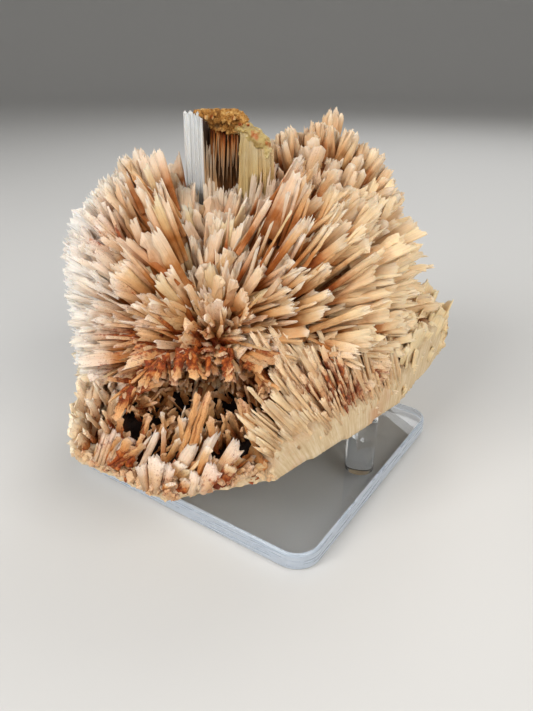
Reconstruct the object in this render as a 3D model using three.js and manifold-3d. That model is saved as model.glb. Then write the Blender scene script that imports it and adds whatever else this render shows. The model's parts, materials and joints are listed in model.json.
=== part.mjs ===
// A mordenite specimen: sprays of flat, pale peach crystal blades that grew together as one piece.
// Its underside and front sides are sawn. It rests on the three round pegs of a clear acrylic stand.
// Millimetres, +Z up. The origin is the centre of the stand's underside.

import * as THREE from 'three';
import { mergeVertices } from 'three/addons/utils/BufferGeometryUtils.js';
import Module from 'manifold-3d';

// Stand: a 3 inch square plate with rounded corners, and three pegs bonded to its top.
const BASE_SIDE = 76.2;
const BASE_THICKNESS = 4.8;
const BASE_CORNER_RADIUS = 6.5;
const BASE_EDGE_ROUND = 0.7;
const PEG_DIAMETER = 7.9;
const PEG_HEIGHT = 17.2;
const PEG_TIP_ROUND = 1.2;
const PEG_SIDES = 20;
const RIGHT_PEG_INSET = 6;
const LEFT_PEG_INSET = 11;
const STAND_TURN = THREE.MathUtils.degToRad(-34.3);

// Specimen: its own frame has the sawn underside at z 0 and the displayed side towards -Y.
const REST_GAP = 0.3;
const SPECIMEN_HEIGHT = 78;
const SEED = 41;

// Corners of the sawn underside: the sawn front from left to right, then round the back.
const LEFT_CORNER = new THREE.Vector2(-43.5, -38.5);
const FRONT_CORNER = new THREE.Vector2(-20, -53);
const FRONT_MIDDLE = new THREE.Vector2(3, -46);
const FRONT_RIGHT = new THREE.Vector2(24.5, -27);
const RIGHT_MIDDLE = new THREE.Vector2(37.5, -12.5);
const RIGHT_CORNER = new THREE.Vector2(57.5, 20);
const BACK_RIGHT = new THREE.Vector2(47, 42);
const BACK_LEFT = new THREE.Vector2(-30, 47);
const LEFT_BACK = new THREE.Vector2(-53, 12);
const UNDERSIDE = [
  LEFT_CORNER, FRONT_CORNER, FRONT_MIDDLE, FRONT_RIGHT, RIGHT_MIDDLE, RIGHT_CORNER,
  BACK_RIGHT, BACK_LEFT, LEFT_BACK,
];

// Root mass: flanks that slope in from the sawn edge to a smaller top, and a taller broken block at the back.
const ROOT_EDGE_HEIGHT = 3;
const ROOT_FLANKS = { corners: UNDERSIDE, height: 16, topCentre: new THREE.Vector2(8, 22), topShare: 0.5 };
const BACK_BLOCK = {
  corners: [RIGHT_CORNER, BACK_RIGHT, BACK_LEFT, LEFT_BACK],
  height: 37,
  topCentre: new THREE.Vector2(0, 37),
  topShare: 0.6,
};

// Sprays: blades fan out from a centre to a rounded envelope. Radii run left, right, front, back and up.
const MAIN_SPRAY = {
  centre: new THREE.Vector3(-13.5, 4, 10.5),
  axis: new THREE.Vector3(0.15, -0.1, 1),
  capAngle: 98,
  count: 122,
  radii: { left: 48, right: 66, front: 40, back: 56, up: 57 },
  core: { left: 34, right: 51, front: 25, back: 40, up: 34 },
  width: [4.4, 6.6],
  byTower: true,
};
const REAR_SPRAY = {
  centre: new THREE.Vector3(13, 23, 25),
  axis: new THREE.Vector3(0.4, 0.1, 1),
  capAngle: 85,
  count: 34,
  radii: { left: 22, right: 34, front: 24, back: 36, up: 43 },
  core: { left: 16, right: 25, front: 17, back: 22, up: 31 },
  width: [4, 5.8],
  byTower: false,
};
const REACH_SPREAD = [0.86, 1.03];
const ROOT_SHARE = 0.5;
const CORE_ROUGHNESS = [0.9, 1.1];

// Rim: blades that stand up from the sawn edge. Each stretch fans out from a foot below the underside.
const RIM_STRETCHES = [
  { from: LEFT_CORNER, to: FRONT_CORNER, foot: [-44, -62, -42], inset: 3, count: 7, length: [13, 19] },
  { from: LEFT_CORNER, to: FRONT_CORNER, foot: [-46, -58, -36], inset: 8, count: 6, length: [18, 24] },
  { from: LEFT_CORNER, to: FRONT_CORNER, foot: [-46, -54, -34], inset: 14, count: 5, length: [21, 27] },
  { from: LEFT_BACK, to: LEFT_CORNER, foot: [-30, -16, -34], inset: 5, count: 6, length: [14, 22] },
  { from: BACK_LEFT, to: LEFT_BACK, foot: [-30, 20, -34], inset: 5, count: 4, length: [16, 26] },
  { from: RIGHT_CORNER, to: BACK_RIGHT, foot: [34, 24, -36], inset: 5, count: 4, length: [12, 18] },
  { from: FRONT_CORNER, to: FRONT_MIDDLE, foot: [-8, -64, -40], inset: 4, count: 7, length: [11, 17] },
  { from: FRONT_MIDDLE, to: FRONT_RIGHT, foot: [26, -38, -44], inset: 3, count: 8, length: [18, 26] },
  { from: FRONT_RIGHT, to: RIGHT_MIDDLE, foot: [28, -36, -48], inset: 3, count: 6, length: [18, 27] },
  { from: RIGHT_MIDDLE, to: RIGHT_CORNER, foot: [30, -18, -40], inset: 3, count: 8, length: [14, 20] },
];
const RIM_WIDTH = [3.6, 5.4];

// Hollow: a dark pocket behind the front rim. No blade of the main spray points low into it.
const HOLLOW_CENTRE = [-12, -33, 13];
const HOLLOW_SIZE = [15, 12, 11];
const HOLLOW_RISE = 0.22;
const HOLLOW_LEFT = -0.5;
const HOLLOW_RIGHT = 0.55;

// Round the tower the main spray's blades stay short. The back is broken flat, so none points there.
const TOWER_RISE = 0.75;
const TOWER_LEFT = -0.2;
const TOWER_RIGHT = 0.3;
const TOWER_CLEARANCE = 0.76;
const BROKEN_BACK = 0.78;

// Single blades that stand out: a root, a tip and a width, with a thickness where it isn't the usual one.
const SINGLE_BLADES = [
  { name: 'tower left plate', root: [-14, 5, 12], tip: [-16.4, 12.4, 71], width: 8, thickness: 4 },
  { name: 'tower right plate', root: [-6, 5, 12], tip: [0, 8, 66.5], width: 8.5, thickness: 6 },
  { name: 'tower back plate', root: [-10, 10, 12], tip: [-7.5, 19, 69], width: 17, thickness: 4 },
  { name: 'rear peak', root: [14, 24, 20], tip: [21.2, 38, 70.5], width: 6, thickness: 4 },
  { name: 'rear peak left', root: [12, 23, 20], tip: [15, 33, 67], width: 5.5, thickness: 3.5 },
  { name: 'rear peak right', root: [15, 24, 20], tip: [26.5, 36, 64], width: 5.5, thickness: 3 },
  { name: 'rear peak far left', root: [11, 22, 20], tip: [9.5, 31, 60], width: 5, thickness: 3 },
  { name: 'hollow long lath', root: [-17.5, -48, 2], tip: [-12, -34, 17.5], width: 4.2 },
  { name: 'hollow bent lath', root: [1, -44, 3], tip: [-5.5, -34.5, 16], width: 3.8 },
  { name: 'front white lath', root: [-7, -48.5, 1.5], tip: [-2.5, -44, 12], width: 4 },
  { name: 'front short lath', root: [-15.5, -50, 1.5], tip: [-12.5, -46, 10], width: 4 },
  { name: 'front crown plate', root: [-21, -50, 1], tip: [-21, -48.5, 9], width: 5 },
];
const BLADE_THICKNESS = [1.9, 2.8];

// Crust: tan lumps that fill the gap between the tower's plates near their tips.
const CRUST_LUMPS = [
  { centre: [-12.5, 13, 69], size: [4, 3.5, 2.6] },
  { centre: [-8, 12.5, 68.5], size: [4, 3.5, 2.8] },
  { centre: [-3.5, 11.5, 67.5], size: [4, 3.5, 2.8] },
  { centre: [-10.5, 14, 65], size: [4.5, 3.5, 3] },
  { centre: [-5.5, 13.5, 64], size: [4, 3.5, 3] },
  { centre: [0, 11, 68], size: [3.2, 3.5, 2.4] },
];

const wasm = await Module();
wasm.setup();

// Seeded draws, so that the same crystals grow each time.
THREE.MathUtils.seededRandom(SEED);
const draw = (low, high) => low + (high - low) * THREE.MathUtils.seededRandom();
const vector = (numbers) => new THREE.Vector3(...numbers);

function solidFrom(geometry) {
  const bare = geometry.clone();
  bare.deleteAttribute('normal');
  bare.deleteAttribute('uv');
  const merged = mergeVertices(bare, 1e-4);
  return new wasm.Manifold(new wasm.Mesh({
    numProp: 3,
    vertProperties: merged.attributes.position.array,
    triVerts: new Uint32Array(merged.index.array),
  }));
}

function geometryFrom(solid) {
  const mesh = solid.getMesh();
  return new THREE.BufferGeometry()
    .setAttribute('position', new THREE.BufferAttribute(mesh.vertProperties, 3))
    .setIndex(new THREE.BufferAttribute(mesh.triVerts, 1));
}

// A flat blade from root to tip that widens upwards and ends in a broken, stepped edge.
function bladeSolid(root, tip, facing, width, thickness) {
  const along = tip.clone().sub(root);
  const length = along.length();
  along.normalize();
  const across = along.clone().cross(facing).normalize();
  const normal = across.clone().cross(along);
  const step = () => Math.min(draw(0.2, 1.1) * width, 0.3 * length);
  const notch = draw(-0.25, 0.25) * width;
  const outline = new THREE.Shape([
    new THREE.Vector2(-0.32 * width, 0),
    new THREE.Vector2(0.32 * width, 0),
    new THREE.Vector2(0.5 * width, length - step()),
    new THREE.Vector2(notch, length),
    new THREE.Vector2(-0.5 * width, length - 0.8 * step()),
  ]);
  const blade = new THREE.ExtrudeGeometry(outline, { depth: thickness, bevelEnabled: false });
  blade.translate(0, 0, -thickness / 2);
  blade.applyMatrix4(new THREE.Matrix4().makeBasis(across, along, normal).setPosition(root));
  return solidFrom(blade);
}

// A rounded envelope's radius in a direction, with a different half-axis on each side.
function envelopeRadius(radii, direction) {
  const x = direction.x / (direction.x < 0 ? radii.left : radii.right);
  const y = direction.y / (direction.y < 0 ? radii.front : radii.back);
  const z = direction.z / radii.up;
  return 1 / Math.hypot(x, y, z);
}

// How far a ray can go before it meets a sawn side or the underside.
function sawnReach(centre, direction) {
  let reach = direction.z < 0 ? -centre.z / direction.z : Infinity;
  UNDERSIDE.forEach((corner, i) => {
    const next = UNDERSIDE[(i + 1) % UNDERSIDE.length];
    const outward = new THREE.Vector2(next.y - corner.y, corner.x - next.x);
    const speed = outward.x * direction.x + outward.y * direction.y;
    const gap = outward.x * (corner.x - centre.x) + outward.y * (corner.y - centre.y);
    if (speed > 0) reach = Math.min(reach, gap / speed);
  });
  return reach;
}

// Directions spread evenly over a cap by the golden angle, each nudged a little.
function sprayDirections({ axis, capAngle, count }) {
  const golden = Math.PI * (3 - Math.sqrt(5));
  const lowest = Math.cos(THREE.MathUtils.degToRad(capAngle));
  const upward = new THREE.Vector3(0, 0, 1);
  const turn = new THREE.Quaternion().setFromUnitVectors(upward, axis.clone().normalize());
  return Array.from({ length: count }, (_, i) => {
    const rise = 1 - (1 - lowest) * (i + 0.5) / count;
    const flat = Math.sqrt(1 - rise * rise);
    const angle = i * golden + draw(-0.25, 0.25);
    const direction = new THREE.Vector3(flat * Math.cos(angle), flat * Math.sin(angle), rise);
    return direction.applyQuaternion(turn);
  });
}

function pointsIntoHollow(direction) {
  const aside = direction.x / Math.hypot(direction.x, direction.y);
  return direction.y < 0 && direction.z < HOLLOW_RISE && aside > HOLLOW_LEFT && aside < HOLLOW_RIGHT;
}

function isBesideTower(direction) {
  return direction.z > TOWER_RISE && direction.x > TOWER_LEFT && direction.x < TOWER_RIGHT;
}

// A spray's solid root mass: a rounded lump inside the envelope that its blades grow from.
function coreSolid({ centre, core }) {
  const round = new THREE.IcosahedronGeometry(1, 2).deleteAttribute('normal').deleteAttribute('uv');
  const lump = mergeVertices(round);
  const places = lump.attributes.position;
  const direction = new THREE.Vector3();
  for (let i = 0; i < places.count; i += 1) {
    direction.fromBufferAttribute(places, i).normalize();
    direction.multiplyScalar(envelopeRadius(core, direction) * draw(...CORE_ROUGHNESS)).add(centre);
    places.setXYZ(i, direction.x, direction.y, direction.z);
  }
  return solidFrom(lump);
}

function spraySolids(spray) {
  const facingAxis = new THREE.Vector3(0, -0.8, 0.6);
  const blades = sprayDirections(spray)
    .filter((direction) => !pointsIntoHollow(direction) && direction.y < BROKEN_BACK)
    .map((direction) => {
      const share = spray.byTower && isBesideTower(direction) ? TOWER_CLEARANCE : 1;
      const envelope = envelopeRadius(spray.radii, direction) * share * draw(...REACH_SPREAD);
      const reach = Math.min(envelope, sawnReach(spray.centre, direction) - draw(0, 1.5));
      const root = spray.centre.clone().addScaledVector(direction, ROOT_SHARE * reach);
      const tip = spray.centre.clone().addScaledVector(direction, reach);
      const facing = facingAxis.clone().applyAxisAngle(direction, draw(-0.7, 0.7));
      return bladeSolid(root, tip, facing, draw(...spray.width), draw(...BLADE_THICKNESS));
    });
  return [coreSolid(spray), ...blades];
}

function rimSolids({ from, to, foot, inset, count, length }) {
  const inward = new THREE.Vector2(from.y - to.y, to.x - from.x).normalize();
  return Array.from({ length: count }, (_, i) => {
    const edge = from.clone().lerp(to, (i + draw(0.2, 0.8)) / count);
    edge.addScaledVector(inward, inset * draw(0.8, 1.5));
    const root = new THREE.Vector3(edge.x, edge.y, 0.6);
    const direction = root.clone().sub(vector(foot)).normalize();
    direction.add(new THREE.Vector3(draw(-0.2, 0.2), draw(-0.1, 0.2), 0)).normalize();
    const tip = root.clone().addScaledVector(direction, draw(...length));
    const facing = new THREE.Vector3(-inward.x, -inward.y, 0.4);
    return bladeSolid(root, tip, facing, draw(...RIM_WIDTH), draw(...BLADE_THICKNESS));
  });
}

function singleBladeSolid({ root, tip, width, thickness = BLADE_THICKNESS[1] }) {
  return bladeSolid(vector(root), vector(tip), new THREE.Vector3(0, -1, 0.3), width, thickness);
}

function crustLumpSolid({ centre, size }) {
  const lump = new THREE.IcosahedronGeometry(1, 0);
  return solidFrom(lump.scale(...size).translate(...centre));
}

function extruded(corners, height) {
  return new THREE.ExtrudeGeometry(new THREE.Shape(corners), { depth: height, bevelEnabled: false });
}

// A block that stands on the sawn edge and narrows to a smaller top.
function narrowingSolid({ corners, height, topCentre, topShare }) {
  const block = extruded(corners, height);
  const places = block.attributes.position;
  for (let i = 0; i < places.count; i += 1) {
    const corner = new THREE.Vector2(places.getX(i), places.getY(i));
    const top = topCentre.clone().lerp(corner, topShare);
    if (places.getZ(i) > 0) places.setXY(i, top.x, top.y);
  }
  return solidFrom(block.translate(0, 0, ROOT_EDGE_HEIGHT));
}

function rootMassSolid() {
  const edge = solidFrom(extruded(UNDERSIDE, ROOT_EDGE_HEIGHT));
  const mass = edge.add(narrowingSolid(ROOT_FLANKS)).add(narrowingSolid(BACK_BLOCK));
  const hollow = new THREE.SphereGeometry(1, 10, 6).scale(...HOLLOW_SIZE).translate(...HOLLOW_CENTRE);
  return mass.subtract(solidFrom(hollow));
}

// The whole cluster: sprays, rim, single blades and crust joined, then trimmed by the sawn sides.
function specimenGeometry() {
  const grown = [
    rootMassSolid(),
    ...spraySolids(MAIN_SPRAY),
    ...spraySolids(REAR_SPRAY),
    ...RIM_STRETCHES.flatMap(rimSolids),
    ...SINGLE_BLADES.map(singleBladeSolid),
    ...CRUST_LUMPS.map(crustLumpSolid),
  ];
  const joined = grown.reduce((cluster, piece) => cluster.add(piece));
  const trimmed = joined.intersect(solidFrom(extruded(UNDERSIDE, SPECIMEN_HEIGHT)));
  const bodies = trimmed.decompose().sort((a, b) => b.volume() - a.volume());
  return geometryFrom(bodies[0]);
}

// The plate: a rounded square with softened top and bottom edges.
function baseGeometry() {
  const half = BASE_SIDE / 2 - BASE_EDGE_ROUND;
  const radius = BASE_CORNER_RADIUS - BASE_EDGE_ROUND;
  const inner = half - radius;
  const outline = new THREE.Shape();
  outline.absarc(inner, inner, radius, 0, Math.PI / 2);
  outline.absarc(-inner, inner, radius, Math.PI / 2, Math.PI);
  outline.absarc(-inner, -inner, radius, Math.PI, 1.5 * Math.PI);
  outline.absarc(inner, -inner, radius, 1.5 * Math.PI, 2 * Math.PI);
  const plate = new THREE.ExtrudeGeometry(outline, {
    depth: BASE_THICKNESS - 2 * BASE_EDGE_ROUND,
    bevelSize: BASE_EDGE_ROUND,
    bevelThickness: BASE_EDGE_ROUND,
    bevelSegments: 2,
    curveSegments: 4,
  });
  return plate.translate(0, 0, BASE_EDGE_ROUND);
}

// A peg: a round rod with a softened top edge.
function pegGeometry() {
  const radius = PEG_DIAMETER / 2;
  const shoulder = new THREE.Path();
  shoulder.moveTo(0, 0);
  shoulder.lineTo(radius, 0);
  shoulder.lineTo(radius, PEG_HEIGHT - PEG_TIP_ROUND);
  shoulder.absarc(radius - PEG_TIP_ROUND, PEG_HEIGHT - PEG_TIP_ROUND, PEG_TIP_ROUND, 0, Math.PI / 2);
  shoulder.lineTo(0, PEG_HEIGHT);
  return new THREE.LatheGeometry(shoulder.getPoints(1), PEG_SIDES).rotateX(Math.PI / 2);
}

const clearAcrylic = new THREE.MeshStandardMaterial({ color: 0xe6edf2, roughness: 0.05, metalness: 0 });
const crystal = new THREE.MeshStandardMaterial({ color: 0xe3bf9c, roughness: 0.55, metalness: 0 });

function namedMesh(name, geometry, material) {
  const mesh = new THREE.Mesh(geometry, material);
  mesh.name = name;
  return mesh;
}

function standPeg(name, x, y) {
  const peg = namedMesh(name, pegGeometry(), clearAcrylic);
  peg.position.set(x, y, BASE_THICKNESS);
  return peg;
}

const rightPegX = BASE_SIDE / 2 - RIGHT_PEG_INSET;
const leftPegOffset = BASE_SIDE / 2 - LEFT_PEG_INSET;
const stand = new THREE.Group();
stand.add(
  namedMesh('stand_base', baseGeometry(), clearAcrylic),
  standPeg('stand_peg_right', rightPegX, 0),
  standPeg('stand_peg_front_left', -leftPegOffset, -leftPegOffset),
  standPeg('stand_peg_rear_left', -leftPegOffset, leftPegOffset),
);
stand.rotation.z = STAND_TURN;

const specimen = namedMesh('specimen', specimenGeometry(), crystal);
specimen.position.z = BASE_THICKNESS + PEG_HEIGHT + REST_GAP;

const display = new THREE.Group();
display.add(stand, specimen);

export default display;
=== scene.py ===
import json
import math

import bmesh
import bpy
import numpy as np
from mathutils import Matrix, Vector, noise

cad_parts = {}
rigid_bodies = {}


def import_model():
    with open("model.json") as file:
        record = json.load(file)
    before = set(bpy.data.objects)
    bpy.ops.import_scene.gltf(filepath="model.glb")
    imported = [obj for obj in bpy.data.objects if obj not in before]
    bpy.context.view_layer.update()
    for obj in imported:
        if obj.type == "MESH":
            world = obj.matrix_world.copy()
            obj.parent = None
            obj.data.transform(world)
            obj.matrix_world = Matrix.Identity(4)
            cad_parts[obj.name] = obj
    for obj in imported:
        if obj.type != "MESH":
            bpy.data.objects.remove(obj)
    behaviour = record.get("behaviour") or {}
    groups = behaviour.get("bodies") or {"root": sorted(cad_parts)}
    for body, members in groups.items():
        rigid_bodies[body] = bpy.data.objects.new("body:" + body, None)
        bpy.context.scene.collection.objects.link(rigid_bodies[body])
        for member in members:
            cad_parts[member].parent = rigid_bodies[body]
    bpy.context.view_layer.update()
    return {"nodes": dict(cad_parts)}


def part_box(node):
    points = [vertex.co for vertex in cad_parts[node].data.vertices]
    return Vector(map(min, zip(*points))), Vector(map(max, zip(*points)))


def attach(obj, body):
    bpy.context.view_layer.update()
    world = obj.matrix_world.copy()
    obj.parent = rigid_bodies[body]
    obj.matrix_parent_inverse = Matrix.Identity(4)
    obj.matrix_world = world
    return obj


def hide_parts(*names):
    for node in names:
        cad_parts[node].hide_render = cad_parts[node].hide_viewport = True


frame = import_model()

print("frame loaded:", ", ".join(sorted(frame["nodes"])))

mm = 0.001
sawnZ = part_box("specimen")[0].z  # height of the sawn underside
lookRng = np.random.default_rng(77)  # fixed, so the same crystals come each run
noise.seed_set(9)  # the noise vectors' offsets come from the clock otherwise


def toWorld(points):
    # specimen millimetres, underside at z 0, to metres in the frame
    return np.asarray(points, float) * mm + np.array([0, 0, sawnZ])


def unit(v):
    v = np.asarray(v, float)
    return v / np.linalg.norm(v)


def colour(red, green, blue):
    def lin(c):
        c /= 255
        return c / 12.92 if c <= 0.04045 else ((c + 0.055) / 1.055) ** 2.4

    return (lin(red), lin(green), lin(blue), 1)


def newObject(name, mesh):
    obj = bpy.data.objects.new(name, mesh)
    bpy.context.scene.collection.objects.link(obj)
    return obj


def plainMesh(obj):
    # the evaluated result as a mesh of its own, with the modifiers gone
    deps = bpy.context.evaluated_depsgraph_get()
    deps.update()
    mesh = bpy.data.meshes.new_from_object(obj.evaluated_get(deps), preserve_all_data_layers=True,
        depsgraph=deps)
    obj.modifiers.clear()
    obj.data = mesh
    return obj


def meshFrom(bm, name):
    mesh = bpy.data.meshes.new(name)
    bm.to_mesh(mesh)
    bm.free()
    return mesh


def joined(name, bm, voxel):
    # overlapping closed forms become one skin
    obj = newObject(name, meshFrom(bm, name))
    remesh = obj.modifiers.new("join", "REMESH")
    remesh.mode, remesh.voxel_size = "VOXEL", voxel
    return plainMesh(obj)


def closeRings(bm, rings, smooth=False):
    # sides between rings of corners, then both ends
    count = len(rings[0])
    for low, high in zip(rings, rings[1:]):
        for k in range(count):
            n = (k + 1) % count
            bm.faces.new((low[k], low[n], high[n], high[k])).smooth = smooth
    bm.faces.new(list(reversed(rings[0])))
    bm.faces.new(rings[-1])


def sidesOf(ring):
    return zip(ring, ring[1:] + ring[:1])


def corners(mesh):
    co = np.zeros(len(mesh.vertices) * 3)
    mesh.vertices.foreach_get("co", co)
    return co.reshape(-1, 3)


def writeLayer(mesh, name, kind, values):
    layer = mesh.attributes.new(name, kind, "POINT")
    field = "vector" if kind == "FLOAT_VECTOR" else "value"
    layer.data.foreach_set(field, np.array(values, int if kind == "INT" else float).ravel())


def trimToSolid(mesh):
    # nothing stands past the solid's box, the sawn underside included
    low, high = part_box("specimen")
    mesh.vertices.foreach_set("co", np.clip(corners(mesh), np.array(low), np.array(high)).ravel())
    mesh.update()


# growth rule, shared with the solid
growth = {
    "seed": 41,
    "corners": [(-43.5, -38.5), (-20, -53), (3, -46), (24.5, -27), (37.5, -12.5), (57.5, 20), (47, 42),
        (-30, 47), (-53, 12)],
    "reachSpread": (0.86, 1.03),
    "rootShare": 0.5,
    "bladeThickness": (1.9, 2.8),
    "rimWidth": (3.6, 5.4),
    "hollowRise": 0.22,
    "hollowSides": (-0.5, 0.55),
    "towerRise": 0.75,
    "towerSides": (-0.2, 0.3),
    "towerShare": 0.76,
    "brokenBack": 0.78,
    "coreCorners": 92,
}
mainSpray = {
    "centre": (-13.5, 4, 10.5), "axis": (0.15, -0.1, 1), "capAngle": 98, "count": 122, "width": (4.4, 6.6),
    "byTower": True, "name": "main", "heart": (-11.3, -19.4, 21.6),
    "radii": {"left": 48, "right": 66, "front": 40, "back": 56, "up": 57},
    "core": {"left": 34, "right": 51, "front": 25, "back": 40, "up": 34},
}
rearSpray = {
    "centre": (13, 23, 25), "axis": (0.4, 0.1, 1), "capAngle": 85, "count": 34, "width": (4, 5.8),
    "byTower": False, "name": "rear", "heart": (12.4, 13.6, 28.2),
    "radii": {"left": 22, "right": 34, "front": 24, "back": 36, "up": 43},
    "core": {"left": 16, "right": 25, "front": 17, "back": 22, "up": 31},
}
corner = {"left": 0, "front": 1, "frontMiddle": 2, "frontRight": 3, "rightMiddle": 4, "right": 5,
    "backRight": 6, "backLeft": 7, "leftBack": 8}
rimStretches = [
    ("left", "front", (-44, -62, -42), 3, 7, (13, 19)),
    ("left", "front", (-46, -58, -36), 8, 6, (18, 24)),
    ("left", "front", (-46, -54, -34), 14, 5, (21, 27)),
    ("leftBack", "left", (-30, -16, -34), 5, 6, (14, 22)),
    ("backLeft", "leftBack", (-30, 20, -34), 5, 4, (16, 26)),
    ("right", "backRight", (34, 24, -36), 5, 4, (12, 18)),
    ("front", "frontMiddle", (-8, -64, -40), 4, 7, (11, 17)),
    ("frontMiddle", "frontRight", (26, -38, -44), 3, 8, (18, 26)),
    ("frontRight", "rightMiddle", (28, -36, -48), 3, 6, (18, 27)),
    ("rightMiddle", "right", (30, -18, -40), 3, 8, (14, 20)),
]
singleBlades = [
    ("towerLeft", (-14, 5, 12), (-16.4, 12.4, 71), 8, 4),
    ("towerRight", (-6, 5, 12), (0, 8, 66.5), 8.5, 6),
    ("towerBack", (-10, 10, 12), (-7.5, 19, 69), 17, 4),
    ("rearPeak", (14, 24, 20), (21.2, 38, 70.5), 6, 4),
    ("rearPeak", (12, 23, 20), (15, 33, 67), 5.5, 3.5),
    ("rearPeak", (15, 24, 20), (26.5, 36, 64), 5.5, 3),
    ("rearPeak", (11, 22, 20), (9.5, 31, 60), 5, 3),
    ("hollowLath", (-17.5, -48, 2), (-12, -34, 17.5), 4.2, 2.8),
    ("hollowLath", (1, -44, 3), (-5.5, -34.5, 16), 3.8, 2.8),
    ("frontLath", (-7, -48.5, 1.5), (-2.5, -44, 12), 4, 2.8),
    ("frontLath", (-15.5, -50, 1.5), (-12.5, -46, 10), 4, 2.8),
    ("frontLath", (-21, -50, 1), (-21, -48.5, 9), 5, 2.8),
]
rootEdge = 3
rootFlanks = {"corners": growth["corners"], "height": 16, "topCentre": (8, 22), "topShare": 0.5}
backBlock = {"corners": [growth["corners"][i] for i in (5, 6, 7, 8)], "height": 37, "topCentre": (0, 37),
    "topShare": 0.6}
hollow = {"centre": (-13.5, -33, 13), "size": (17, 12.5, 11.5)}


def seededDraws(seed):
    # the same 32-bit generator as the solid's, so its blades stand in the same places
    state = [seed]

    def draw(low=0.0, high=1.0):
        state[0] = (state[0] + 0x6D2B79F5) & 0xFFFFFFFF
        t = state[0]
        t = ((t ^ (t >> 15)) * (t | 1)) & 0xFFFFFFFF
        t ^= (t + ((t ^ (t >> 7)) * (t | 61))) & 0xFFFFFFFF
        return low + (high - low) * ((t ^ (t >> 14)) & 0xFFFFFFFF) / 4294967296

    return draw


def envelopeRadius(radii, d):
    x = d[0] / radii["left" if d[0] < 0 else "right"]
    y = d[1] / radii["front" if d[1] < 0 else "back"]
    return 1 / math.sqrt(x * x + y * y + (d[2] / radii["up"]) ** 2)


def sawnReach(centre, d):
    reach = -centre[2] / d[2] if d[2] < 0 else math.inf
    ring = growth["corners"]
    for a, b in sidesOf(ring):
        nx, ny = b[1] - a[1], a[0] - b[0]
        speed = nx * d[0] + ny * d[1]
        if speed > 0:
            reach = min(reach, (nx * (a[0] - centre[0]) + ny * (a[1] - centre[1])) / speed)
    return reach


def sprayDirections(spray, count, draw, nudge):
    golden = math.pi * (3 - math.sqrt(5))
    lowest = math.cos(math.radians(spray["capAngle"]))
    turn = Vector((0, 0, 1)).rotation_difference(Vector(spray["axis"]).normalized())
    found = []
    for i in range(count):
        rise = 1 - (1 - lowest) * (i + 0.5) / count
        flat = math.sqrt(1 - rise * rise)
        angle = i * golden + draw(-nudge, nudge)
        found.append(np.array(turn @ Vector((flat * math.cos(angle), flat * math.sin(angle), rise))))
    return found


def pointsIntoHollow(d):
    aside = d[0] / max(math.hypot(d[0], d[1]), 1e-9)
    return d[1] < 0 and d[2] < growth["hollowRise"] and growth["hollowSides"][0] < aside < growth["hollowSides"][1]


def besideTower(d):
    return d[2] > growth["towerRise"] and growth["towerSides"][0] < d[0] < growth["towerSides"][1]


def byTower(d):
    # the same without a step: 1 beside the tower, 0 away from it
    x, z = d[0], d[2]
    return np.clip((z - 0.62) / 0.12, 0, 1) * np.clip((x + 0.3) / 0.12, 0, 1) * np.clip((0.4 - x) / 0.12, 0, 1)


def turned(v, axis, angle):
    return np.array(Matrix.Rotation(angle, 3, Vector(axis)) @ Vector(v))


def rimFrame(stretch):
    a, b = (np.array(growth["corners"][corner[n]], float) for n in stretch[:2])
    inward = unit([a[1] - b[1], b[0] - a[0]])
    return a, b, inward


def solidBlades():
    # every blade of the solid: kind, root, tip, facing, width, thickness
    draw = seededDraws(growth["seed"])
    draw()
    blades = []
    for spray in (mainSpray, rearSpray):
        centre = np.array(spray["centre"], float)
        for d in sprayDirections(spray, spray["count"], draw, 0.25):
            if pointsIntoHollow(d) or d[1] >= growth["brokenBack"]:
                continue
            share = growth["towerShare"] if spray["byTower"] and besideTower(d) else 1
            envelope = envelopeRadius(spray["radii"], d) * share * draw(*growth["reachSpread"])
            reach = min(envelope, sawnReach(centre, d) - draw(0, 1.5))
            facing = turned((0, -0.8, 0.6), d, draw(-0.7, 0.7))
            width, thickness = draw(*spray["width"]), draw(*growth["bladeThickness"])
            [draw() for _ in range(3)]  # its tip's steps
            blades.append((spray["name"], centre + d * growth["rootShare"] * reach, centre + d * reach, facing,
                width, thickness))
        [draw() for _ in range(growth["coreCorners"])]
    for stretch in rimStretches:
        a, b, inward = rimFrame(stretch)
        for i in range(stretch[4]):
            edge = a + (b - a) * (i + draw(0.2, 0.8)) / stretch[4]
            edge = edge + inward * stretch[3] * draw(0.8, 1.5)
            root = np.array([edge[0], edge[1], 0.6])
            d = unit(root - np.array(stretch[2], float))
            d = unit(d + np.array([draw(-0.2, 0.2), draw(-0.1, 0.2), 0]))
            tip = root + d * draw(*stretch[5])
            width, thickness = draw(*growth["rimWidth"]), draw(*growth["bladeThickness"])
            [draw() for _ in range(3)]
            blades.append(("rim", root, tip, np.array([-inward[0], -inward[1], 0.4]), width, thickness))
    for kind, root, tip, width, thickness in singleBlades:
        blades.append((kind, np.array(root, float), np.array(tip, float), np.array([0, -1, 0.3]), width,
            thickness))
    return blades


hearts = {spray["name"]: np.array(spray["heart"]) for spray in (mainSpray, rearSpray)}
blades = solidBlades()
print("growth rule:", len(blades), "main blades")


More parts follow.
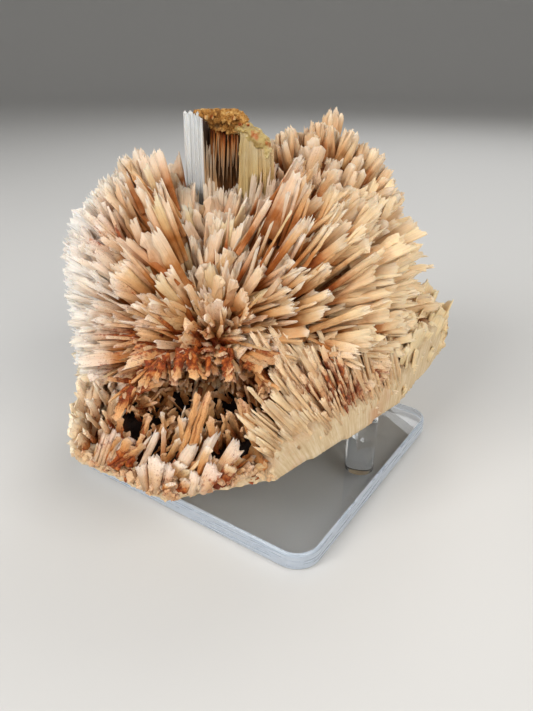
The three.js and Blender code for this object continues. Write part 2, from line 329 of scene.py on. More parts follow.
# laths: each main blade is a sheaf, and finer ones stand between
lathLook = {
    "sheafPitch": (1.8, 3.6),  # mm between the laths of a sheaf
    "sheafLength": 17,  # mm of a sheaf that stands out of the roots
    "rimThickness": (0.8, 1.7),
    "rimSpacing": 1.25,  # mm along the edge between the short laths of the rim
    "tornShapes": 20,
    "raggedShapes": 10,  # strips with rough edges, round the hollow
    "straightShapes": 4,  # flat fibres of the tower
    "bluntShapes": 6,  # rounder fingers of the rear spray
    "needleShapes": 5,
    "crumbShapes": 5,
}
fillLook = {
    # directions tried, then width and thickness in mm, share of the spray's reach, length and deepest foot in mm
    "main": {"count": 3900, "width": (1.3, 4.3), "thickness": (0.8, 1.7), "reach": (0.72, 0.99),
        "length": (10, 17), "bury": 20},
    "rear": {"count": 800, "width": (1.7, 4.2), "thickness": (1.2, 2.4), "reach": (0.68, 1.0),
        "length": (12, 19), "bury": 20},
    # the left flank, the broken back, small ones over the front, and the right flank
    "side": {"count": 1500, "width": (1.3, 3.6), "thickness": (0.8, 1.6), "reach": (0.9, 1.0),
        "length": (8, 13), "bury": 20},
    "stub": {"count": 1300, "width": (1.4, 3.6), "thickness": (0.9, 2.0), "reach": (0.95, 1.0),
        "length": (6, 10), "bury": 20},
    "fine": {"count": 2000, "width": (0.8, 2.4), "thickness": (0.5, 1.1), "reach": (0.78, 1.0),
        "length": (7, 12), "bury": 16},
    "flank": {"count": 700, "width": (1.6, 4.4), "thickness": (0.9, 1.8), "reach": (0.8, 0.97),
        "length": (9, 15), "bury": 20},
}
stainSpots = [
    # centre in specimen mm, radius, strength: heart, left of it, upper left, front edge, right fan, behind the tower
    ((-12.4, -33, 23.6), 12, 1.15), ((-16, -32, 26), 9, 1.0), ((-7, -32, 26), 9, 1.0),
    ((-10, -33.3, 19.6), 10, 1.1), ((-18, -33, 20.7), 10, 1.1),
    ((2, -31.8, 22.6), 7, 0.8), ((-2.4, -31.2, 28.5), 7, 0.7), ((-3.7, -33.3, 15.7), 9, 0.8),
    ((-28.5, -30.5, 24), 11, 1.15), ((-34, -28, 26), 8, 1.0), ((-32.4, -30, 19), 9, 1.05),
    ((-22, -31, 29), 8, 0.85), ((-30, -26.8, 35), 7, 0.75),
    ((-37.7, -15.7, 46.6), 8, 0.95), ((-37.8, -23.6, 33.7), 6, 0.6), ((-33, -38, 6), 9, 0.9),
    ((-39, -27, 11.7), 8, 0.75),
    ((-20, -51, 1.5), 8, 0.85), ((-8, -48, 2), 8, 0.95), ((-30, -46, 2), 8, 0.9),
    ((16.5, -29.5, 16), 6, 2.2), ((20, -29, 12), 6, 2.1), ((14, -31, 12), 5, 1.9), ((24, -26, 12), 5, 1.6),
    ((10, -32, 17), 5, 1.3), ((31, -20, 13), 4, 1.5),
    ((8, 8, 56), 9, 0.75),
]


class Laths:
    def __init__(self):
        self.rows = []

    def add(self, root, tip, facing, width, thickness, kind):
        along = tip - root
        length = np.linalg.norm(along)
        if length < 1:
            return
        along = along / length
        across = np.cross(along, facing)
        if np.linalg.norm(across) < 1e-3:
            across = np.cross(along, [1, 0, 0.2])
        across = unit(across)
        self.rows.append((root, along, across, width, thickness, length, kind))


def stainAt(points):
    # how stained each point is, from 0 to about 1
    total = np.zeros(len(points))
    for centre, radius, strength in stainSpots:
        gap = np.linalg.norm(points - np.array(centre), axis=1) / radius
        total = np.maximum(total, strength * np.exp(-1.1 * gap ** 2))
    return total


def keepInside(root, tip, margin):
    # shortens a lath that would pass a sawn side
    d = tip - root
    length = np.linalg.norm(d)
    reach = sawnReach(root, d / length) - margin
    return root + d / length * min(length, max(reach, 0.5))


def frustumPlanes(block):
    ring = [np.array(c, float) for c in block["corners"]]
    centre = np.array(block["topCentre"], float)
    low, high = rootEdge, rootEdge + block["height"]
    planes = [(np.array([0, 0, 1.0]), np.array([0, 0, high])), (np.array([0, 0, -1.0]), np.array([0, 0, 0.0]))]
    for a, b in sidesOf(ring):
        top = centre + (a - centre) * block["topShare"]
        p, q, r = np.array([*a, low]), np.array([*b, low]), np.array([*top, high])
        planes.append((unit(np.cross(q - p, r - p)), p))
    return planes


massPlanes = [frustumPlanes(rootFlanks), frustumPlanes(backBlock)]


def massReach(centre, d):
    # how far the root mass goes in a direction
    far = 0
    for planes in massPlanes:
        enter, leave = 0, math.inf
        for n, p in planes:
            speed, gap = n @ d, n @ (p - centre)
            if speed > 1e-9:
                leave = min(leave, gap / speed)
            elif speed < -1e-9:
                enter = max(enter, gap / speed)
        if leave > enter:
            far = max(far, leave)
    return far


def inHollow(p, share=1.0):
    rel = (np.asarray(p) - np.array(hollow["centre"])) / (np.array(hollow["size"]) * share)
    return rel @ rel < 1


def pick(span):
    return lookRng.uniform(*span)


def sheafLaths(spray, rear, rim):
    for kind, root, tip, facing, width, thickness in blades:
        along = unit(tip - root)
        across = unit(np.cross(along, facing))
        normal = np.cross(across, along)
        if kind.startswith("tower") or kind == "frontLath":
            continue
        group = rim if kind in ("rim", "hollowLath") else rear if kind.startswith("rear") else spray
        pitch = {"hollowLath": 1.5, "rear": 2.8, "rearPeak": 1.5}.get(kind, pick(lathLook["sheafPitch"]))
        pieces = max(1, round(width / pitch))
        layers = 2 if thickness > 3.4 else 1
        if kind in hearts:
            along = unit(tip - hearts[kind])
            across = unit(np.cross(along, facing))
            normal = np.cross(across, along)
        root = tip - along * min(np.linalg.norm(tip - root), lathLook["sheafLength"])
        for layer in range(layers):
            for i in range(pieces):
                offset = ((i + 0.5) / pieces - 0.5) * width
                depth = (layer - (layers - 1) / 2) * thickness * 0.45 + lookRng.normal(0, 0.22)
                drop = abs(lookRng.normal(0, 2.4 if kind == "rearPeak" else 0.9))
                start = root + across * offset * 0.7 + normal * depth
                end = tip + across * offset * 0.98 + normal * depth * 1.3 - along * drop
                if kind == "rim":
                    end = keepInside(start, end, 0.4)
                if kind == "rim" and inHollow(end, 1.15):
                    continue
                if kind == "rim" and start[0] > 2 and along[2] > 0.2:
                    start = start + along * max(0, 8.5 - start[2]) / along[2]
                wide = width / pieces * pick((1.05, 1.35))
                thick = thickness / layers * pick((0.35, 0.5) if kind == "hollowLath" else (0.55, 0.85))
                group.add(start, end, turned(facing, along, lookRng.normal(0, 0.16)), wide, thick, kind)


towerSheaves = [
    # kind, count, first root, last root, first tip, last tip, width, thickness, uneven end
    ("towerLeft", 9, (-18.9, 4.5, 30), (-15.4, 4.5, 30), (-19.3, 11.6, 71.6), (-15.7, 11.6, 70.8), (0.8, 1.3),
        (1.7, 1.8), 1.6),
    ("towerEdge", 8, (-15.2, 6, 32), (-12.4, 7, 32), (-15.2, 12.6, 68), (-12.6, 13, 66), (0.5, 1.1),
        (0.7, 1.2), 9.0),
    ("towerBack", 12, (-17, 11.5, 30), (2, 12, 30), (-17, 16.5, 68.5), (0, 17.5, 66), (1.8, 2.3), (1.4, 2.0),
        1.0),
    ("towerOuter", 12, (-18, 13.5, 30), (3, 14, 30), (-18, 18.4, 69.5), (0.4, 19, 66), (1.7, 2.3), (0.9, 1.3),
        3.0),
    ("towerOuter", 9, (-18.4, 6, 30), (-18.4, 14, 30), (-18.6, 12.4, 69.5), (-18, 18.6, 69.5), (1.2, 1.8),
        (1.3, 1.8), 3.0),
    ("towerOuter", 8, (3.2, 5, 34), (2.8, 13, 32), (2.0, 9.4, 61.5), (0.6, 17.5, 65), (1.2, 1.8), (1.3, 1.8),
        3.0),
    ("towerInner", 26, (-13.2, 14, 67), (-5.0, 13.5, 66), (-13.2, 9.6, 50), (-6.0, 9.6, 53), (0.25, 0.65),
        (0.3, 0.6), 12.0),
    ("towerGlass", 24, (-5.8, 3.5, 38), (3.2, 3, 38), (-5.4, 10.4, 67), (2.2, 8.4, 62.5), (0.7, 1.6),
        (0.9, 1.5), 2.6),
    ("towerPale", 15, (-6.5, -2, 38), (4.6, 0, 36), (-2.2, 7, 59), (4.4, 5.4, 58), (0.7, 1.7), (0.7, 1.3), 7.0),
    ("towerPale", 9, (-20, 3, 34), (-15, 2, 34), (-21.5, 7.5, 59), (-15.5, 7.5, 55), (0.9, 2.0), (0.8, 1.4),
        8.0),
    ("towerPale", 11, (-14, 1.5, 36), (-7, 1.5, 36), (-14, 5.5, 57), (-7, 5.5, 54), (0.9, 2.2), (0.7, 1.2),
        7.0),
]


towerTop = {"crumbs": 60, "size": (0.5, 1.3), "from": (-16.5, 12, 70.4), "to": (-4, 11, 68.4),
    "loose": (0.6, 1.2, 0.7)}


def towerFibres(tower):
    for kind, count, root0, root1, tip0, tip1, width, thickness, uneven in towerSheaves:
        for i in range(count):
            t = i / (count - 1)
            loose = 0.06 if kind == "towerLeft" else 0.3
            root = np.array(root0) * (1 - t) + np.array(root1) * t + lookRng.normal(0, loose, 3)
            tip = np.array(tip0) * (1 - t) + np.array(tip1) * t + lookRng.normal(0, loose, 3)
            tip = tip - unit(tip - root) * lookRng.uniform(0, uneven)
            tower.add(root, tip, turned((0, -1, 0.15), unit(tip - root), lookRng.normal(0, 0.12)), pick(width),
                pick(thickness), kind)
    for i in range(towerTop["crumbs"]):
        t, size, d = lookRng.random(), pick(towerTop["size"]), unit(lookRng.normal(0, 1, 3))
        middle = np.array(towerTop["from"]) * (1 - t) + np.array(towerTop["to"]) * t
        middle = middle + lookRng.normal(0, 1, 3) * np.array(towerTop["loose"])
        tower.add(middle - d * size / 2, middle + d * size / 2, np.array([0.3, -1, 0.3]),
            size * pick((0.7, 1.1)), size * pick((0.6, 1)), "towerCrumb")


def sprayFill(spray, spot, size):
    # neighbours lean and face alike, so they read as tufts
    look, centre = fillLook[size], np.array(spot["centre"], float)
    heart, widest = hearts[spot["name"]], max(spot["radii"].values())
    for d in sprayDirections(spot, look["count"], lambda low, high: lookRng.uniform(low, high), 0.6):
        d = unit(d + lookRng.normal(0, 0.04, 3))
        chance, spread, broad = lookRng.random(), pick(look["reach"]), lookRng.random()
        tilt, spin, short = lookRng.normal(0, 0.12, 3), lookRng.normal(0, 0.5), lookRng.random()
        envelope = envelopeRadius(spot["radii"], d)
        sawnAt = sawnReach(centre, d)
        group = noise.noise(Vector(d * 6.5 + 3))
        sparse = group < (-0.3 if spot["byTower"] else -0.2) and d[1] < 0.2 and d[0] > -0.7
        if chance > (min(envelope, sawnAt) / widest) ** 2 or sparse and size in ("main", "rear", "fine"):
            continue
        tuft = np.array(noise.noise_vector(Vector(d * 4.2 + 7)))
        lift = 1 + 0.13 * group - 0.12 * max(0, short - 0.8) / 0.2
        share = 1 - (1 - growth["towerShare"]) * byTower(d) if spot["byTower"] else 1
        spread = max(spread, 0.92) if d[0] < -0.55 else spread
        share *= 0.74 if spot["byTower"] and pointsIntoHollow(d) else 1
        reach = max(envelope * share * spread * lift,
            massReach(centre, d) + 0.6 + 1.6 * broad if d[1] > 0.2 or size == "flank" else 0)
        reach = min(reach, envelope, sawnAt - 1.2 * broad)
        tip = centre + d * reach
        lean = unit(unit(tip - heart) + tilt + 0.22 * tuft)
        buried = (reach - envelope * coreShare(spot, d) + 2.5) / max(0.45, lean @ d)
        run = min(max(pick(look["length"]), min(buried, look["bury"])), 0.95 * np.linalg.norm(tip - heart))
        start = tip - lean * run
        tip = keepInside(start, tip, 0.3)
        facing = turned((0, -0.8, 0.6), d, 1.4 * tuft[0] + spin)
        wider = 1 + (0.25 * (d[2] > 0.55) + 0.5 * np.clip((d[0] - 0.25) / 0.3, 0, 1) if size == "main" else 0)
        low, high = np.array(look["width"]) * wider
        if short < 1.1 * (wider - 1):
            continue
        spray.add(start, tip, facing, low + (high - low) * broad ** 1.5, pick(look["thickness"]), size + "Fill")


rimRows = {
    # inset from the edge in mm, foot height, length in mm, width in mm, laths for each step along the edge
    "rough": [
        ((0.6, 2.2), (0.2, 1.2), (3, 6), (1.2, 3.4), 0.5), ((1.8, 4.2), (0.4, 2.2), (5, 10), (1.0, 4.0), 1.0),
        ((4.2, 7.5), (1, 3.5), (7, 13), (1.0, 4.2), 1.1), ((7.5, 12.0), (2, 5), (8, 15), (1.4, 4.2), 0.75),
        ((12.0, 17.0), (3, 6), (9, 17), (1.6, 4), 0.6),
    ],
    "sawn": [
        ((0.1, 0.8), (4.5, 7.5), (5, 11), (0.5, 1.3), 3.2), ((0.8, 2.2), (6.0, 8.5), (8, 16), (0.5, 1.7), 4.2),
        ((2.2, 4.0), (6.5, 9.0), (11, 20), (0.5, 2.0), 4.0),
        ((4.0, 6.5), (7, 10), (13, 23), (0.6, 2.2), 3.2), ((6.5, 11.0), (7, 10.5), (14, 24), (0.8, 2.6), 2.2),
        ((11.0, 18.0), (7, 11), (13, 22), (1.0, 2.8), 1.6),
    ],
    "end": [
        ((0.0, 1.0), (2, 9), (5, 9), (2.4, 5.4), 0.9), ((1.0, 4.0), (5, 11), (6, 11), (2.8, 6.0), 0.9),
        ((4.0, 9.0), (8, 14), (7, 12), (2.8, 6.0), 0.8),
    ],
}
rimStyle = {("frontMiddle", "frontRight"): "sawn", ("frontRight", "rightMiddle"): "sawn",
    ("rightMiddle", "right"): "end"}
# the point below the rim that a stretch's laths fan out from, where it isn't the solid's
rimLean = {
    ("left", "front"): (-52, -56, -30), ("front", "frontMiddle"): (-40, -60, -28),
    ("frontMiddle", "frontRight"): (48, -24, -47), ("frontRight", "rightMiddle"): (48, -24, -47),
}
frontLaths = [
    # root, tip, width, thickness of the white ones that stand along the front
    ((-11.2, -49, 1.5), (-4.4, -44.4, 9.8), 3.1, 1.8), ((-15.5, -49, 1.5), (-9.5, -42, 11), 3.0, 1.8),
    ((-19.5, -49.5, 1.5), (-14, -45, 9.6), 3.0, 2.0),
    ((-22.6, -50.4, 0.8), (-21.8, -48.6, 8.8), 3.2, 2.6), ((-24.2, -50, 0.8), (-25.2, -48.4, 6.8), 2.2, 1.8),
    ((-20.4, -50.6, 0.8), (-19, -49.4, 7.4), 2.2, 1.8),
    ((-12.8, -50.4, 0.8), (-9.6, -49, 6.8), 3.6, 2.2), ((-14.6, -51, 0.8), (-13.4, -49.6, 5.4), 2.6, 2.0),
    ((-33, -45, 2.5), (-30.2, -41.6, 8.4), 1.3, 1.1), ((-34, -44.4, 2.5), (-31, -40.8, 9.2), 1.5, 1.2),
    ((-35, -43.8, 2.5), (-32, -40, 9.8), 1.3, 1.1),
    ((-36, -43, 2.5), (-33.2, -39.2, 9.2), 1.5, 1.2), ((-37, -42.2, 2.5), (-34.2, -38.6, 9.6), 1.2, 1.1),
    ((-30.5, -43.5, 0.6), (-24.2, -40.5, 8.6), 0.9, 0.7), ((-27, -46, 1.5), (-22.5, -40, 9.5), 1.8, 1.2),
]


def rimFill(rim):
    seen = set()
    whites = [(np.array(root) + np.array(tip))[:2] / 2 for root, tip, width, thick in frontLaths]
    for stretch in rimStretches:
        if stretch[:2] in seen:
            continue
        seen.add(stretch[:2])
        a, b, inward = rimFrame(stretch)
        steps = np.linalg.norm(b - a) / lathLook["rimSpacing"]
        style = rimStyle.get(stretch[:2], "rough")
        foot = np.array(rimLean.get(stretch[:2], stretch[2]), float)
        for inset, height, length, width, share in rimRows[style]:
            for _ in range(round(steps * share)):
                edge = a + (b - a) * lookRng.uniform(0.01, 0.99) + inward * pick(inset)
                root = np.array([edge[0], edge[1], pick(height)])
                sway, stray = (0.12, 0.06) if style == "sawn" else (0.18, 0.15)
                drift = sway * np.array(noise.noise_vector(Vector(root * 0.14)))
                d = unit(unit(root - foot) + drift + lookRng.normal(0, stray, 3))
                tip = keepInside(root, root + d * pick(length), 0.1)
                spin, wide = lookRng.normal(0, 0.3 if style == "sawn" else 0.45), pick(width)
                thick = pick(lathLook["rimThickness"]) * (0.75 if style == "rough" else 0.6)
                near = min(np.linalg.norm((root + tip)[:2] / 2 - w) for w in whites)
                if inHollow(tip, 1.15) or inHollow((root + tip) / 2, 1.15) or style == "rough" and near < 1.6:
                    continue
                rim.add(root, tip, turned((-inward[0], -inward[1], 0.4), d, spin), wide, thick, style + "Fill")
    for root, tip, width, thick in frontLaths:
        rim.add(np.array(root), np.array(tip), np.array([0, -1, 0.3]), width, thick, "frontLath")


def rimCrumbs(rim):
    # pale lumps make up the lowest edge of the front and left
    look = {"spacing": 0.18, "size": (0.7, 2.6), "inset": (0.3, 4.4), "height": (0.4, 2.8)}
    for names in (("left", "front"), ("front", "frontMiddle")):
        a, b, inward = rimFrame(names)
        for _ in range(round(np.linalg.norm(b - a) / look["spacing"])):
            edge = a + (b - a) * lookRng.uniform(0.01, 0.99) + inward * pick(look["inset"])
            size, d = pick(look["size"]), unit(lookRng.normal(0, 1, 3))
            middle = np.array([edge[0], edge[1], pick(look["height"])])
            rim.add(middle - d * size / 2, middle + d * size / 2, np.array([0.3, -1, 0.3]),
                size * pick((0.7, 1.2)), size * pick((0.6, 1.0)), "crumb")


def hollowFill(rim):
    # stained laths stand into the hollow from its floor and walls
    look = {"tries": 400, "overhang": 44, "length": (4, 10), "width": (1.0, 3.0), "thickness": (0.4, 0.9)}
    for i in range(look["tries"]):
        d = unit(lookRng.normal(0, 1, 3) * np.array([1, 1, 0.8]))
        length, spin, wide = pick(look["length"]), lookRng.normal(0, 0.8), pick(look["width"])
        tilt, thick = lookRng.normal(0, 0.35, 3), pick(look["thickness"])
        root = np.array(hollow["centre"]) + d * np.array(hollow["size"])
        if d[1] < -0.2 and root[2] > 5:
            continue
        root[2] = max(root[2], 1.5)
        rise = np.array([-0.45 * d[0], -0.25 - 0.5 * d[1], 0.75 - 0.4 * d[2]])
        lean = unit((np.array([0.3 * d[0], -0.7, -0.6]) if d[2] > 0.2 else rise) + tilt)
        tip = keepInside(root, root + lean * length * (0.85 if d[2] > 0.2 else 1), 0.5)
        rim.add(root - lean, tip, turned((0, -0.8, 0.6), lean, spin), wide, thick, "hollow")
    # paler ones lean over its front left
    for i in range(look["overhang"]):
        root = np.array([pick((-35, -15)), pick((-46, -36)), 3.0])
        lean, length = unit(np.array([0.45, 0.3, 0.85]) + lookRng.normal(0, 0.2, 3)), pick(look["length"])
        tip = keepInside(root, root + lean * length, 0.5)
        rim.add(root, tip, turned((0.3, -0.8, 0.5), lean, lookRng.normal(0, 0.5)), pick(look["width"]),
            pick(look["thickness"]), "hollow" if i % 3 else "roughFill")


def growLaths():
    spray, rear, shards, rim, tower, flank = (Laths() for _ in range(6))
    sheafLaths(spray, rear, rim)
    towerFibres(tower)
    sprayFill(spray, mainSpray, "main")
    sprayFill(rear, rearSpray, "rear")
    sprayFill(rear, dict(rearSpray, axis=(0.1, 1, 0.25), capAngle=72), "stub")
    sprayFill(rear, dict(mainSpray, axis=(0, 1, 0.2), capAngle=55), "stub")
    sprayFill(shards, dict(mainSpray, axis=(-1, 0.3, 0.15), capAngle=64), "side")
    sprayFill(shards, dict(mainSpray, axis=(0.1, -0.85, 0.5), capAngle=68), "fine")
    rimFill(rim)
    rimCrumbs(rim)
    hollowFill(rim)
    sprayFill(flank, dict(mainSpray, axis=(1, 0.3, 0.15), capAngle=46), "flank")
    sprayFill(flank, dict(rearSpray, axis=(1, -0.45, 0.1), capAngle=52), "flank")
    return spray, rear, shards, rim, tower, flank


families = {}
for family in ("torn", "ragged", "straight", "blunt", "needle", "crumb"):
    first = sum(len(f) for f in families.values())
    families[family] = range(first, first + lathLook[family + "Shapes"])


def lathBody(bm, rng, i, family):
    # unit lath: x across, y through, z along, widening to its tip
    columns = 2 if family == "needle" else 5
    tipColumns = 9 if family == "torn" else columns
    xs = np.linspace(0.5, -0.5, columns) + rng.uniform(-0.05, 0.05, columns)
    bow, scoop, ragged, thin = rng.uniform(-0.6, 0.6), rng.uniform(-0.5, 0.5), 0.05, 0.6
    middle = rng.uniform(0.55, 0.78)
    slope = np.linspace(-1, 1, tipColumns) * rng.uniform(-0.1, 0.1)
    if family == "torn":
        teeth = (np.arange(9) % 2 == i % 2) * rng.uniform(0.015, 0.075, 9)
        tips = 1 - teeth - rng.uniform(0, 0.06, 9) + slope * 0.7
        if i % 3 == 0:
            tips[slice(0, 3) if i % 2 else slice(5, 9)] -= rng.uniform(0.05, 0.16)  # a broken shoulder
        half = np.array([0.22, 0.42, 0.46, 0.42, 0.22]) * rng.uniform(0.75, 1.2, (2, 5))
        widths = (rng.uniform(0.55, 0.85), rng.uniform(0.82, 1.05), rng.choice([0.84, 0.94, 1.0, 1.08]))
        xs[[0, 4]] *= rng.uniform(0.85, 1.12, 2)
    elif family == "blunt":
        tips = np.array([0.95, 0.985, 1.0, 0.98, 0.945]) + rng.uniform(-0.04, 0.02, 5)
        half = np.array([0.32, 0.46, 0.5, 0.46, 0.32]) * rng.uniform(0.85, 1.1, (2, 5))
        widths, middle = (rng.uniform(0.65, 0.9), rng.uniform(0.9, 1.0), rng.uniform(0.74, 0.95)), 0.88
    elif family == "needle":
        tips, half, thin = 1 + slope, np.full((2, 2), 0.45), 0.7
        widths = (rng.uniform(0.6, 0.9), 1.0, rng.uniform(0.3, 0.8))
    else:
        tips = 1 - 0.03 * rng.uniform(0, 1, 5)
        half = np.array([0.42, 0.5, 0.44, 0.5, 0.4]) * rng.uniform(0.9, 1.1, (2, 5))
        widths, bow, scoop, ragged = (0.9, 0.97, 1.0), 0, 0, 0.01
    tips = tips + 1 - tips.max()
    rings = []
    for level, wide in zip((0, middle, 1), widths):
        count = tipColumns if level == 1 else columns
        spread = np.linspace(0, columns - 1, count)
        x = (np.interp(spread, range(columns), xs) + (level > 0) * rng.uniform(-ragged, ragged, count)) * wide
        ring = []
        for side in (1, -1):
            depth = np.interp(spread, range(columns), half[0 if side > 0 else 1]) * (thin if level == 1 else 1)
            for k in range(count)[::side]:
                z = tips[k] - rng.uniform(0, 0.015) if level == 1 else level
                ring.append(bm.verts.new((x[k], side * depth[k] + 4 * scoop * x[k] ** 2 * level + bow * z * z,
                    z)))
        rings.append(ring)
    soft = family in ("blunt", "needle") or family == "torn" and i % 4 > 0
    foot, waist, top = rings
    n, m = columns, tipColumns
    for k in range(2 * n):
        bm.faces.new((foot[k], foot[(k + 1) % (2 * n)], waist[(k + 1) % (2 * n)],
            waist[k])).smooth = soft and k not in (n - 1, 2 * n - 1)
    for low, high in ((0, 0), (n, m)):
        for k in range(n - 1):
            if n == m:
                bm.faces.new((waist[low + k], waist[low + k + 1], top[high + k + 1],
                    top[high + k])).smooth = soft
                continue
            left, right, tip = waist[low + k], waist[low + k + 1], top[high + 2 * k:high + 2 * k + 3]
            for corners in ((left, right, tip[1]), (left, tip[1], tip[0]), (right, tip[2], tip[1])):
                bm.faces.new(corners).smooth = soft
    bm.faces.new((waist[n - 1], waist[n], top[m], top[m - 1]))
    bm.faces.new((waist[2 * n - 1], waist[0], top[0], top[2 * m - 1]))
    for k in range(m - 1):
        bm.faces.new((top[k], top[k + 1], top[2 * m - 2 - k], top[2 * m - 1 - k])).smooth = family == "blunt"
    for k in range(n - 1):
        bm.faces.new((foot[2 * n - 1 - k], foot[2 * n - 2 - k], foot[k + 1], foot[k]))


def raggedBody(bm, rng):
    # unit strip that wanders, with teeth along both edges
    levels, drift, rings = (0, 0.18, 0.33, 0.47, 0.6, 0.73, 0.86, 1), 0, []
    bow, thin = rng.uniform(-0.5, 0.5), 0.5
    for step, level in enumerate(levels):
        drift += rng.uniform(-0.07, 0.07)
        tooth = 0.16 * (np.array([step, step + rng.integers(2)]) % 2)
        sides = (0.5 - tooth - rng.uniform(0, 0.1, 2)) * (0.75 if level == 1 else 1)
        xs = (drift + sides[0], drift + rng.uniform(-0.14, 0.14), drift - sides[1])
        if level == 1:
            rise = np.array([-0.05, 0.0, -0.05]) - rng.uniform(0, 0.1, 3)
        else:
            rise = rng.uniform(-0.035, 0.035, 3) * (level > 0)
        half = np.array([0.1, 0.5, 0.1]) * rng.uniform(0.7, 1.2, 3) * (thin if level == 1 else 1)
        ring = []
        for side, order in ((1, (0, 1, 2)), (-1, (2, 1, 0))):
            for k in order:
                ring.append(bm.verts.new((xs[k], side * half[k] + bow * level * level, level + rise[k])))
        rings.append(ring)
    for low, high in zip(rings, rings[1:]):
        for k in range(6):
            bm.faces.new((low[k], low[(k + 1) % 6], high[(k + 1) % 6], high[k]))
    for ring, order in ((rings[0], ((5, 4, 1, 0), (4, 3, 2, 1))), (rings[-1], ((0, 1, 4, 5), (1, 2, 3, 4)))):
        for corners in order:
            bm.faces.new([ring[c] for c in corners])


def lathShape(i, family):
    rng = np.random.default_rng(300 + i)
    bm = bmesh.new()
    if family == "ragged":
        raggedBody(bm, rng)
    elif family == "crumb":
        for v in bmesh.ops.create_icosphere(bm, subdivisions=1, radius=0.5)["verts"]:
            v.co = v.co * rng.uniform(0.55, 1.3) + Vector((0, 0, 0.5))
    else:
        lathBody(bm, rng, i, family)
    mesh = meshFrom(bm, f"lathShape{i}")
    co = corners(mesh)
    writeLayer(mesh, "lathRun", "FLOAT_VECTOR", np.stack([co[:, 0], co[:, 2], np.full(len(co), i * 1.7)], 1))
    return mesh


lathShapes = bpy.data.collections.new("lathShapes")
for family, numbers in families.items():
    for i in numbers:
        lathShapes.objects.link(bpy.data.objects.new(f"lathShape{i:02d}", lathShape(i, family)))


def bladeTree():
    # points with a turn and a size each become laths
    tree = bpy.data.node_groups.new("bladeSpray", "GeometryNodeTree")
    face = tree.interface
    face.new_socket("Geometry", in_out="INPUT", socket_type="NodeSocketGeometry")
    face.new_socket("Lath Shapes", in_out="INPUT", socket_type="NodeSocketCollection")
    for name in ("Width", "Thickness", "Length"):
        face.new_socket(name, in_out="INPUT", socket_type="NodeSocketFloat").default_value = 1
    face.new_socket("Finish", in_out="INPUT", socket_type="NodeSocketMaterial")
    face.new_socket("Geometry", in_out="OUTPUT", socket_type="NodeSocketGeometry")
    add, link = tree.nodes.new, tree.links.new
    start, end = add("NodeGroupInput"), add("NodeGroupOutput")
    shapes = add("GeometryNodeCollectionInfo")
    shapes.inputs["Separate Children"].default_value = True
    shapes.inputs["Reset Children"].default_value = True
    link(start.outputs["Lath Shapes"], shapes.inputs["Collection"])

    def read(name, kind):
        node = add("GeometryNodeInputNamedAttribute")
        node.data_type = kind
        node.inputs["Name"].default_value = name
        return node.outputs["Attribute"]

    factors = add("ShaderNodeCombineXYZ")
    for axis, name in zip("XYZ", ("Width", "Thickness", "Length")):
        link(start.outputs[name], factors.inputs[axis])
    scale = add("ShaderNodeVectorMath")
    scale.operation = "MULTIPLY"
    link(read("lathSize", "FLOAT_VECTOR"), scale.inputs[0])
    link(factors.outputs[0], scale.inputs[1])
    place = add("GeometryNodeInstanceOnPoints")
    place.inputs["Pick Instance"].default_value = True
    link(start.outputs["Geometry"], place.inputs["Points"])
    link(shapes.outputs[0], place.inputs["Instance"])
    link(read("lathShape", "INT"), place.inputs["Instance Index"])
    link(read("lathTurn", "FLOAT_VECTOR"), place.inputs["Rotation"])
    link(scale.outputs[0], place.inputs["Scale"])
    real, paint = add("GeometryNodeRealizeInstances"), add("GeometryNodeSetMaterial")
    link(place.outputs[0], real.inputs[0])
    link(real.outputs[0], paint.inputs["Geometry"])
    link(start.outputs["Finish"], paint.inputs["Material"])
    link(paint.outputs[0], end.inputs["Geometry"])
    return tree


def setInput(modifier, tree, name, value):
    for item in tree.interface.items_tree:
        if item.item_type == "SOCKET" and item.in_out == "INPUT" and item.name == name:
            modifier[item.identifier] = value


lathTints = {
    # towerLeft's cool grey-white is partly the plate's own white and partly painted light from the window side
    "towerLeft": (colour(208, 211, 212), 0.85), "towerEdge": (colour(176, 150, 122), 0.6),
    # towerBack's dark brown is partly its own colour and partly painted shade of the tower's hollow
    "towerBack": (colour(72, 46, 28), 0.9),
    "towerOuter": (colour(216, 194, 166), 0.65), "towerInner": (colour(136, 106, 80), 0.8),
    "towerGlass": (colour(178, 152, 94), 0.78), "towerPale": (colour(210, 188, 164), 0.75),
    "towerCrumb": (colour(204, 168, 112), 0.8), "crumb": (colour(222, 192, 154), 0.5),
    "frontLath": (colour(230, 215, 203), 0.6),
    "hollow": (colour(234, 178, 118), 0.55), "hollowLath": (colour(232, 178, 118), 0.5),
    "sawnFill": (colour(248, 218, 176), 0.68), "endFill": (colour(248, 222, 176), 0.68),
}
# how far each kind's laths are lifted out of the dark foot of the ramp, which is partly painted shade between the
# blades
lathFades = {
    "main": 0.27, "mainFill": 0.2, "fineFill": 0.25, "sideFill": 0.4, "stubFill": 0.45, "flankFill": 0.22,
    "rim": 0.4, "sawnFill": 0.63, "endFill": 0.66, "roughFill": 0.34, "frontLath": 0.52, "crumb": 0.8,
    "hollow": 0.4, "hollowLath": 0.5,
    "towerLeft": 0.85, "towerOuter": 0.6, "towerPale": 0.7, "towerGlass": 0.8, "rearFill": 0.04, "rear": 0.1,
    "rearPeak": 0.5,
}


def lathFamily(kind, width, tip):
    rough = math.exp(-(np.linalg.norm(tip - np.array(hollow["centre"])) / 24) ** 2)
    rough = {"hollow": 1, "hollowLath": 1, "roughFill": 0.5, "sawnFill": 0.1, "endFill": 0.5,
        "crumb": 0.65}.get(kind, 0.2 + 0.6 * rough)
    ragged = lookRng.random() < rough
    if kind.endswith(("crumb", "Crumb")):
        return "ragged" if ragged and kind == "crumb" else "crumb"
    if ragged and not kind.startswith(("tower", "rear")) and kind != "frontLath":
        return "ragged"
    if kind in ("towerInner", "towerEdge") or width < 1.05 and not kind.startswith("tower"):
        return "needle"
    if kind == "towerPale":
        return "torn"
    if kind.startswith("tower"):
        return "straight"
    return "blunt" if kind.startswith("rear") and lookRng.random() < 0.6 else "torn"


